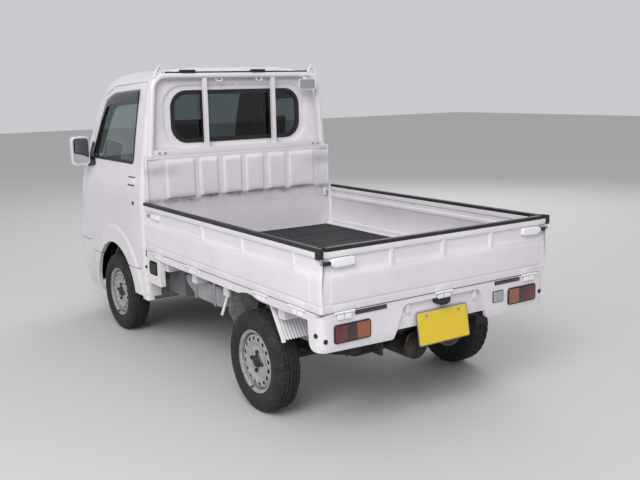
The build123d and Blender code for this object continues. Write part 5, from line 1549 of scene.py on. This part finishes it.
# Guard frame: steel tube bent and welded, enamelled white, with rope hooks; a rubber strip with two
# pads lies along its top bar so that long loads don't slip.
eased("guard_frame", white_enamel)
bevelled_box(
    "guard_strip", (0.293, -0.540, 1.7485), (0.317, 0.540, 1.757), 0.003, extruded_rubber, "root",
    "mat_rubber",
)
for i, y in enumerate((0.372, -0.142)):
    bevelled_box(
        f"guard_pad_{i}", (0.284, y - 0.050, 1.7485), (0.322, y + 0.050, 1.768), 0.004, extruded_rubber,
        "root", "mat_rubber",
    )
for i, y in enumerate((0.150, -0.150)):
    path = [Vector((0.300, y + a, b)) for a, b in (
        (0.022, 1.7130), (0.022, 1.7000), (0.012, 1.6940), (-0.012, 1.6940), (-0.022, 1.7000), (-0.022, 1.7130))]
    tube(f"guard_hook_{i}", path, 0.0040, highlit_enamel, "root")
for name, side in SIDES:
    path = [
        Vector((0.290, side * y, z))
        for y, z in ((0.604, 1.722), (0.596, 1.752), (0.566, 1.796), (0.536, 1.752), (0.532, 1.738))
    ]
    tube(f"rope_hook_{name}", path, 0.0055, highlit_enamel, "root")
    bevelled_box(
        f"guard_foot_{name}", (0.284, side * 0.628, 1.231), (0.328, side * 0.676, 1.239), 0.002, white_enamel,
        "root", "body_white",
    )
    studs(
        f"guard_foot_bolts_{name}", [(0.284, side * y, 1.254) for y in (0.600, 0.560)], (-1, 0, 0), 0.007, 0.005,
        zinc_plate, "root", "frame_paint",
    )

# Work lamp: a moulded housing with a chromed reflector behind a clear fluted lens, on a bent strap
# from the top bar.
chromed_plastic = surface_finish("chromed_plastic", "#dfe0e2", {"Roughness": 0.12, "Metallic": 1.0})
lamp_face = rectangle(-0.562, 1.6285, -0.428, 1.6985, 0.012, 5)


def lamp_rings(steps):
    """Rings of the lamp's form: depth along the truck and share of the face's size."""
    return [[Vector((x, y, z)) for y, z in shrunk(lamp_face, (-0.495, 1.6635), grow)] for x, grow in steps]


lamp = lofted(
    "work_lamp_housing",
    lamp_rings(((0.2840, 0.52), (0.2760, 0.74), (0.2500, 0.96), (0.2400, 1.03), (0.2365, 1.03), (0.2365, 0.93),
                                     (0.2450, 0.92), (0.2700, 0.60))),
    highlit_enamel, "root", "lamp_lens", 30,
)
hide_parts("work_lamp")
lofted(
    "work_lamp_reflector", lamp_rings(((0.2660, 0.55), (0.2440, 0.915), (0.2430, 0.915), (0.2580, 0.50))),
    chromed_plastic, "root", "lamp_lens", 30,
)
lofted(
    "work_lamp_lens", lamp_rings(((0.2425, 0.92), (0.2385, 0.93), (0.2360, 0.86))), clear_lens, "root",
    "lamp_lens", 30,
)
for i, z in enumerate((1.6430, 1.6635, 1.6840)):
    tube(
        f"work_lamp_bar_{i}", [Vector((0.2352, -0.552, z)), Vector((0.2352, -0.438, z))], 0.0016, zinc_plate,
        "root",
    )
bevelled_box(
    "work_lamp_strap", (0.268, -0.508, 1.690), (0.273, -0.482, 1.718), 0.0015, highlit_enamel, "root",
    "body_white",
)
bevelled_box(
    "work_lamp_clamp", (0.268, -0.508, 1.712), (0.292, -0.482, 1.718), 0.0015, highlit_enamel, "root",
    "body_white",
)

# Fuel filler: a pressed white bracket under the left sill; a black rubber pocket in it holds the
# moulded cap.
FILLER = (0.180, 0.549)
eased("fuel_filler", white_enamel)
pocket = rectangle(0.127, 0.512, 0.233, 0.586, 0.016, 5)
rings = []
for depth, grow in ((0.7275, 1.12), (0.7275, 0.94), (0.7120, 0.90), (0.7000, 0.86), (0.6990, 0.20)):
    rings.append([Vector((x, depth, z)) for x, z in shrunk(pocket, FILLER, grow)])
lofted("filler_pocket", rings, extruded_rubber, "root", "mat_rubber", 30)
cap = [
    [Vector((x, depth, z)) for x, z in circle(*FILLER, radius, 20)]
    for depth, radius in ((0.6990, 0.026), (0.7070, 0.026), (0.7100, 0.023), (0.7105, 0.010))
]
lofted("filler_cap", cap, moulded_black, "root", "trim_plastic", 40)
bevelled_box(
    "filler_cap_grip", (0.158, 0.7095, 0.545), (0.202, 0.7160, 0.553), 0.002, moulded_black, "root",
    "trim_plastic",
)

# Mud guards: moulded pale sheets hung on the chassis before and behind the rear wheels, the hind ones
# ribbed and edged white; half round liners of the same plastic over the front wheels.
ribbed_white = surface_finish("white_polythene", "#d9d6da", {"Roughness": 0.5})
for name, side in SIDES:
    hind = []
    for i in range(61):
        y = 0.512 + 0.176 * i / 60
        wave = 0.0040 * math.sin(math.tau * i / 6.0)
        hind.append([Vector((x + wave * 0.9, side * y, z + wave * 0.5)) for x, z in (
            (-1.2010, 0.6060), (-1.3100, 0.4420), (-1.3065, 0.4400), (-1.1975, 0.6040))])
    rear_guard = lofted(f"rear_mudguard_{name}", hind, ribbed_white, "root", "pale_plastic", 50)
    edge = [
        [Vector((x, side * y, z)) for y in (0.684, 0.702) for x, z in steps]
        for steps in (
            ((-1.1950, 0.606), (-1.2060, 0.606)), ((-1.2990, 0.450), (-1.3120, 0.450)),
            ((-1.3050, 0.432), (-1.3160, 0.432)),
        )
    ]
    edge = [[ring[0], ring[1], ring[3], ring[2]] for ring in edge]
    lofted(f"rear_mudguard_edge_{name}", edge, highlit_enamel, "root", "pale_plastic", 30)
    flap = [
        [
            Vector((x, side * y, z))
            for y, z in (
                (0.520, 0.600), (0.700, 0.600), (0.700, 0.470), (0.640, 0.365), (0.560, 0.365),
                (0.520, 0.470),
            )
        ]
        for x in (-0.760, -0.756)
    ]
    for ring in flap:
        for p in ring:
            p.x += (0.600 - p.z) * 0.26 - 0.040
    lofted(f"front_flap_{name}", flap, pale_plastic, "root", "pale_plastic", 30)
    liner = []
    for i in range(37):
        angle = math.radians(180 * i / 36)
        rib = 0.0015 if i % 6 == 0 else 0.0
        liner.append([Vector((0.860 + r * math.cos(angle), side * y, 0.265 + r * math.sin(angle))) for r, y in (
            (0.3490 - rib, 0.414), (0.3490 - rib, 0.596), (0.3420, 0.614), (0.3460, 0.619), (0.3520, 0.612),
            (0.3520, 0.414))])
    lofted(f"arch_liner_{name}", liner, pale_plastic, "root", "pale_plastic", 40)
    stay = [
        [Vector((x + dx, side * y, z)) for dx in (-0.012, 0.012) for y in (0.632, 0.637)]
        for x, z in ((-0.662, 0.575), (-0.552, 0.392))
    ]
    stay = [[ring[0], ring[1], ring[3], ring[2]] for ring in stay]
    lofted(f"guard_stay_{name}", stay, highlit_enamel, "root", "frame_paint", 30)
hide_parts("mudguards")

# Fuel tank: two pressed shells of coated steel, seam welded, hung on straps under the left of the bed;
# a small bright step edge stands below the cab's rear corner.
coated_steel = surface_finish(
    "coated_tank_steel", "#a6a6aa", {"Roughness": 0.48, "Metallic": 0.25},
    (9.0, 8.0, 0.65, ((0.30, "#76757a"), (0.52, "#a3a3a8"), (0.75, "#b7b7bb"))),
)
tank_side = rounded(
    ((-0.030, 0.542), (-0.598, 0.542), (-0.598, 0.475), (-0.520, 0.424), (-0.215, 0.424), (-0.070, 0.490)), 0.022, 4
)
tank = []
for y, grow in ((0.424, 0.94), (0.428, 0.97), (0.440, 1.0), (0.522, 1.0), (0.523, 1.02), (0.527, 1.02), (0.528, 1.0),
                (0.606, 1.0), (0.616, 0.975), (0.620, 0.94)):
    tank.append([Vector((x, y, z)) for x, z in shrunk(tank_side, (-0.315, 0.484), grow)])
tank_form = lofted("fuel_tank_shells", tank, coated_steel, "root", "frame_paint", 35)
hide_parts("fuel_tank")
for i, x in enumerate((-0.200, -0.445)):
    bevelled_box(
        f"tank_strap_{i}", (x - 0.014, 0.430, 0.419), (x + 0.014, 0.6235, 0.4235), 0.0015, zinc_plate, "root",
        "frame_paint",
    )
    bevelled_box(
        f"tank_strap_end_{i}", (x - 0.014, 0.6205, 0.419), (x + 0.014, 0.6245, 0.560), 0.0015, zinc_plate,
        "root", "frame_paint",
    )
for name, side in SIDES:
    bevelled_box(
        f"cab_step_edge_{name}", (0.352, side * 0.655, 0.298), (0.432, side * 0.706, 0.334), 0.006,
        highlit_enamel, "root", "body_white",
    )

# Rear corner of the cab: on each side above the rocker, a round rubber buffer pushed into a hole and a
# drain slot, which is a black block on the panel: painted shade for the slot's dark inside.
for name, side in SIDES:
    studs(
        f"cab_buffer_{name}", [(0.340, side * 0.7040, 0.530)], (-0.75, side * 0.66, 0), 0.0100, 0.009,
        extruded_rubber, "root", "mat_rubber",
    )
    # Drain slot: a black block standing for the shade inside the slot, as painted shade.
    bevelled_box(
        f"cab_slot_shade_{name}", (0.336, side * 0.6985, 0.596), (0.344, side * 0.7060, 0.640), 0.002,
        moulded_black, "root", "trim_plastic",
    )

# Headlamps: a chromed bowl and an amber indicator behind a clear acrylic lens that follows the nose,
# in a black tray.
lens_clear = surface_finish(
    "clear_moulded_lens", "#f2f4f5", {"Roughness": 0.03, "Transmission Weight": 0.92, "IOR": 1.30}
)


def upright_ring(x, y, z, wide, high, count):
    """Points round an upright oval that faces along the truck."""
    return [
        Vector((x, y + wide * math.cos(math.tau * i / count), z + high * math.sin(math.tau * i / count)))
        for i in range(count)
    ]


for name, side in SIDES:
    edge = lamp_outline(side, -0.003)
    lens = pressed(
        f"headlamp_lens_{name}", [edge], lattice(edge, 0.02), sunk(skin_point, 0.0),
        lens_clear, "root", "headlamp_lens", 0.003,
    )
    frame_edge = lamp_outline(side, -0.001)
    pressed(
        f"headlamp_tray_{name}", [frame_edge], lattice(frame_edge, 0.03), sunk(skin_point, 0.052), moulded_black,
        "root", "headlamp_lens", 0.003,
    )
    middle = skin_point(side * run_on_nose(0.52, 0.95), 0.953)
    bowl = []
    for reach, radius in (
        (0.048, 0.012), (0.046, 0.030), (0.036, 0.046), (0.016, 0.056), (0.010, 0.058), (0.012, 0.054),
        (0.034, 0.043), (0.043, 0.026), (0.044, 0.010),
    ):
        bowl.append(upright_ring(middle.x - reach, middle.y, middle.z, radius * 1.15, radius, 28))
    lofted(f"headlamp_bowl_{name}", bowl, chromed_plastic, "root", "headlamp_lens", 40)
    bulb = [
        upright_ring(middle.x - reach, middle.y, middle.z, radius, radius, 16)
        for reach, radius in ((0.043, 0.009), (0.020, 0.009), (0.014, 0.006))
    ]
    lofted(f"headlamp_bulb_{name}", bulb, clear_lens, "root", "headlamp_lens", 40)
    at = skin_point(side * (run_on_nose(0.6, 0.95) + 0.045), 0.955)
    cup = [
        upright_ring(at.x - reach, at.y - side * reach * 0.6, at.z, radius, radius * 1.1, 20)
        for reach, radius in ((0.040, 0.024), (0.018, 0.026), (0.014, 0.020))
    ]
    lofted(f"indicator_{name}", cup, lens_colours["amber"], "root", "headlamp_lens", 40)
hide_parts("headlamps")

# Dashboard: moulded polypropylene, dark grey and lightly grained, screwed to the bulkhead, with a hood
# over the dials on the right, four air vents, a radio panel, heater knobs and a glove box.
moulded_trim = surface_finish(
    "grained_polypropylene", "#35363a", {"Roughness": 0.6}, None, (0.0018, None, 0.35, 0.0004)
)
eased("dashboard", moulded_trim, 0.012)
hood = []
for y, grow in ((-0.480, 0.80), (-0.470, 0.96), (-0.440, 1.0), (-0.220, 1.0), (-0.190, 0.96), (-0.180, 0.80)):
    hood.append([Vector((1.380 + x * grow, y, 1.070 + z * grow)) for x, z in (
        (-0.066, -0.010), (-0.070, 0.020), (-0.056, 0.050), (-0.010, 0.062), (0.060, 0.048), (0.090, 0.010))])
lofted("dial_hood", hood, moulded_trim, "root", "trim_plastic", 35)
# Dials stand on the hood's face, dark and glossy
dial_glass = surface_finish("dark_dial_glass", "#0d0e10", {"Roughness": 0.08})
bevelled_box("dial_panel", (1.308, -0.440, 1.030), (1.318, -0.220, 1.095), 0.008, dial_glass, "root", "trim_plastic")
for i, (y, z) in enumerate(((-0.545, 1.030), (0.060, 1.030), (-0.070, 1.030), (0.545, 1.030))):
    bevelled_box(
        f"air_vent_{i}", (1.296, y - 0.050, z - 0.030), (1.330, y + 0.050, z + 0.030), 0.006, dial_glass,
        "root", "trim_plastic",
    )
    for row in range(4):
        h = z - 0.0195 + row * 0.013
        bevelled_box(
            f"air_vent_slat_{i}_{row}", (1.2925, y - 0.044, h - 0.002), (1.300, y + 0.044, h + 0.002), 0.0012,
            moulded_trim, "root", "trim_plastic",
        )
bevelled_box("radio_panel", (1.298, -0.100, 0.905), (1.320, 0.090, 0.975), 0.006, dial_glass, "root", "trim_plastic")
for i, y in enumerate((-0.075, 0.0, 0.065)):
    studs(f"heater_knob_{i}", [(1.310, y, 0.870)], (-1, 0, 0), 0.014, 0.020, moulded_trim, "root", "trim_plastic")
bevelled_box(
    "glove_box_lid", (1.300, 0.180, 0.850), (1.318, 0.520, 0.985), 0.010, moulded_trim, "root",
    "trim_plastic",
)

# Steering wheel: foam rim over steel, on a column from the dashboard, with a boss of the dashboard's
# plastic.
eased("steering_wheel", moulded_trim, 0.001)
boss_axis = Vector((-math.sin(math.radians(45)), 0, math.cos(math.radians(45))))
studs(
    "steering_boss", [Vector((1.215, -0.330, 1.010)) - boss_axis * 0.010], boss_axis, 0.062, 0.030,
    moulded_trim, "root", "trim_plastic",
)

# Seats: foam cushions under woven grey cloth, sewn in three panels with piped edges, on steel pans; a
# headrest stands on two posts in each back.
seat_cloth, tree, shader, place = new_finish(
    "woven_seat_cloth", "#55565b", {"Roughness": 0.9, "Sheen Weight": 0.4, "Sheen Roughness": 0.5}
)
weave = add(tree, "ShaderNodeTexWave", {"Scale": 1 / 0.006, "Distortion": 1.5, "Detail": 2.0}, {"Vector": place})
relief = add(tree, "ShaderNodeBump", {"Strength": 0.4, "Distance": 0.0008}, {"Height": weave.outputs["Fac"]})
tree.links.new(relief.outputs["Normal"], shader.inputs["Normal"])


VOXEL = 0.009
CLOTH_STEPS = 20
SEAM_PULL, SEAM_WIDTH = 0.0045, 0.0055
WELT_SHARE, WELT_PULL, WELT_WIDTH = 0.42, 0.0030, 0.006
SEAT_Y = 0.330


def settled(piece):
    """The piece's mesh as its modifiers leave it."""
    return bpy.data.meshes.new_from_object(piece.evaluated_get(bpy.context.evaluated_depsgraph_get()))


def stuffed(name, size, edge, crown, cap, seams):
    """A sewn cushion's mesh about its own middle: crowned, blown up as cloth, then its seams drawn in."""
    half = Vector(size) / 2
    form = bmesh.new()
    bmesh.ops.create_cube(form, size=2.0)
    bmesh.ops.subdivide_edges(form, edges=form.edges[:], cuts=15, use_grid_fill=True)
    for vertex in form.verts:
        u, v, w = vertex.co
        point = Vector((u * half.x, v * half.y, w * half.z))
        core = Vector([max(-(h - edge), min(h - edge, c)) for h, c in zip(half, point)])
        if (point - core).length > 1e-6:
            point = core + (point - core).normalized() * edge
        point.x *= 1 - 0.030 * (1 - v * v)
        point.y *= 1 - 0.030 * (1 - u * u)
        point.z += crown * (1 - u * u) * (1 - v * v) * (1 if w > 0 else 0.25)
        vertex.co = point
    mesh = bpy.data.meshes.new(name)
    form.to_mesh(mesh)
    form.free()
    piece = bpy.data.objects.new(name + "_form", mesh)
    bpy.context.scene.collection.objects.link(piece)
    voxels = piece.modifiers.new("voxels", "REMESH")
    voxels.mode = "VOXEL"
    voxels.voxel_size = VOXEL
    piece.data = settled(piece)
    piece.modifiers.clear()
    cloth = piece.modifiers.new("cloth", "CLOTH")
    cloth.settings.use_pressure = True
    cloth.settings.uniform_pressure_force = 4.0
    cloth.settings.effector_weights.gravity = 0.0
    cloth.point_cache.frame_start = 1
    cloth.point_cache.frame_end = CLOTH_STEPS
    for step in range(1, CLOTH_STEPS + 1):
        bpy.context.scene.frame_set(step)
    blown = settled(piece)
    piece.modifiers.clear()
    for vertex, there in zip(piece.data.vertices, blown.vertices):
        move = there.co - vertex.co
        vertex.co = vertex.co + move * min(1.0, cap / max(move.length, 1e-9))
    bpy.context.scene.frame_set(1)
    finer = piece.modifiers.new("finer", "SUBSURF")
    finer.levels = finer.render_levels = 1
    mesh = settled(piece)
    bpy.data.objects.remove(piece)
    for vertex in mesh.vertices:
        x, y, z = vertex.co
        near = min([abs(abs(y) - half.y * line) for line in seams[0]] + [abs(x - half.x * line) for line in seams[1]])
        welt = abs(z - half.z * WELT_SHARE)
        pull = SEAM_PULL * math.exp(-(near / SEAM_WIDTH) ** 2) * (1 if z > 0 else 0)
        pull += WELT_PULL * math.exp(-(welt / WELT_WIDTH) ** 2)
        vertex.co = vertex.co - Vector(vertex.normal) * pull
    mesh.materials.clear()
    mesh.materials.append(seat_cloth)
    mesh.shade_smooth()
    mesh.name = name
    return mesh


LEAN = math.radians(8)
BACK_FOOT = Vector((0.500, 0.0, 0.760))
cushion_mesh = stuffed("seat_cushion", (0.462, 0.462, 0.104), 0.034, 0.016, 0.010, ((0.62,), (-0.38, 0.46)))
back_mesh = stuffed("seat_back", (0.500, 0.458, 0.084), 0.030, 0.014, 0.010, ((0.60,), (-0.30, 0.36)))
head_mesh = stuffed("seat_headrest", (0.136, 0.236, 0.050), 0.022, 0.006, 0.006, ((2.0,), (2.0,)))
upright = Matrix.Rotation(-LEAN, 4, "Y") @ Matrix.Rotation(math.radians(90), 4, "Y")


def lean_point(across, up):
    """A point of a seat's back by its depth and its height up the back."""
    return BACK_FOOT + Vector(
        (across * math.cos(LEAN) - up * math.sin(LEAN), 0, across * math.sin(LEAN) + up * math.cos(LEAN))
    )


for name, side in SIDES:
    for part, mesh, at, turn in (
        ("cushion", cushion_mesh, Vector((0.740, 0, 0.722)), Matrix.Identity(4)),
        ("back", back_mesh, lean_point(0.052, 0.272), upright),
        ("headrest", head_mesh, lean_point(0.050, 0.624), upright),
    ):
        worn = mesh.copy()
        worn.transform(turn)
        seat = place_piece(f"seat_{part}_{name}", worn, "root", "seat_fabric", (at.x, side * SEAT_Y, at.z))
    for post in (-1, 1):
        foot, head = lean_point(0.050, 0.490), lean_point(0.050, 0.590)
        y = side * SEAT_Y + post * 0.055
        tube(
            f"headrest_post_{name}_{'a' if post > 0 else 'b'}", [(foot.x, y, foot.z), (head.x, y, head.z)],
            0.006, zinc_plate, "root",
        )
    bevelled_box(
        f"seat_pan_{name}", (0.505, side * SEAT_Y - 0.215, 0.6605), (0.960, side * SEAT_Y + 0.215, 0.676),
        0.004, moulded_black, "root", "seat_fabric",
    )
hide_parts("seats")

# Scuttle: a black moulded grille strip under the windscreen, slotted for the heater's air. Two steel
# wiper arms park on it, each with a rubber blade on the glass.
def over_skin(y, z, height):
    """A point that height in front of the nose."""
    return sunk(skin_point, -height)(run_on_nose(y, z), z)


strip = rounded(((-0.600, 1.078), (0.600, 1.078), (0.590, 1.116), (-0.590, 1.116)), 0.014)
strip = [(run_on_nose(y, z), z) for y, z in stepped(strip)]
pressed(
    "scuttle_strip", [strip], lattice(strip, 0.02), sunk(skin_point, -0.0035), moulded_black, "root",
    "trim_plastic", 0.005,
)
for row, z in enumerate((1.087, 1.097, 1.107)):
    tube(
        f"scuttle_louvre_{row}", [over_skin(-0.54 + 0.036 * i, z, 0.0052) for i in range(31)], 0.0018,
        moulded_trim, "root",
    )
for name, pivot, reach in (("left", 0.470, 0.050), ("right", -0.080, -0.500)):
    studs(
        f"wiper_pivot_{name}", [over_skin(pivot, 1.098, 0.0)], (0.9, 0, 0.43), 0.012, 0.030, moulded_black,
        "root", "trim_plastic",
    )
    middle = (pivot + reach) / 2
    tube(
        f"wiper_arm_{name}",
        [
            over_skin(pivot, 1.098, 0.024), over_skin(middle + 0.03, 1.132, 0.024),
            over_skin(middle, 1.160, 0.006),
        ],
        0.0045, moulded_black, "root",
    )
    blade = [(middle + 0.24 - 0.024 * i, 1.158 + 0.004 * (1 - ((i - 10) / 10) ** 2)) for i in range(21)]
    tube(
        f"wiper_blade_{name}", [over_skin(y, z, -0.0050) for y, z in blade], 0.0045, extruded_rubber, "root",
    )
    tube(
        f"wiper_spine_{name}", [over_skin(y, z, 0.0025) for y, z in blade], 0.0035, moulded_black, "root",
    )

# Floor, light and camera: a pale floor under an even overcast light, seen from the truck's left
# rear corner at a standing eye's height, as it was photographed.
floor_mesh = bpy.data.meshes.new("floor")
floor_mesh.from_pydata([(-30, -30, 0), (30, -30, 0), (30, 30, 0), (-30, 30, 0)], [], [(0, 1, 2, 3)])
pale_floor = surface_finish("pale_floor", "#c9c9c6", {"Roughness": 0.9})
floor_mesh.materials.append(pale_floor)
floor = bpy.data.objects.new("floor", floor_mesh)
bpy.context.scene.collection.objects.link(floor)

world = bpy.data.worlds.new("overcast")
bpy.context.scene.world = world
world.use_nodes = True
tree = world.node_tree
sky = tree.nodes["Background"]
sky.inputs["Color"].default_value = linear("#f1f3f7")
sky.inputs["Strength"].default_value = 0.66

for name, at, aim, size, power in (
    ("key", (-4.6, 4.8, 5.6), (0.2, 0, 1.5), 4.5, 420.0),
    ("fill", (4.5, -5.0, 5.0), (0, 0, 1.0), 6.0, 200.0),
):
    lamp = bpy.data.lights.new(name, "AREA")
    lamp.energy = power
    lamp.size = size
    lamp_object = bpy.data.objects.new(name, lamp)
    bpy.context.scene.collection.objects.link(lamp_object)
    lamp_object.location = at
    lamp_object.rotation_euler = (Vector(aim) - Vector(at)).to_track_quat("-Z", "Y").to_euler()

YAW, PITCH, ROLL = -0.5921, -0.1837, -0.0207
ahead = Vector((math.cos(YAW) * math.cos(PITCH), math.sin(YAW) * math.cos(PITCH), math.sin(PITCH)))
level = Vector((math.sin(YAW), -math.cos(YAW), 0))
upward = level.cross(ahead)
right = math.cos(ROLL) * level + math.sin(ROLL) * upward
top = math.cos(ROLL) * upward - math.sin(ROLL) * level
lens = bpy.data.cameras.new("photo_view")
lens.sensor_width = 36.0
lens.lens = 836.9 / 640 * 36.0
camera = bpy.data.objects.new("photo_view", lens)
bpy.context.scene.collection.objects.link(camera)
camera.matrix_world = Matrix((
    (right.x, top.x, -ahead.x, -4.6518), (right.y, top.y, -ahead.y, 2.7160), (right.z, top.z, -ahead.z, 1.6585),
    (0, 0, 0, 1),
))
bpy.context.scene.camera = camera
bpy.context.scene.view_settings.view_transform = "Standard"
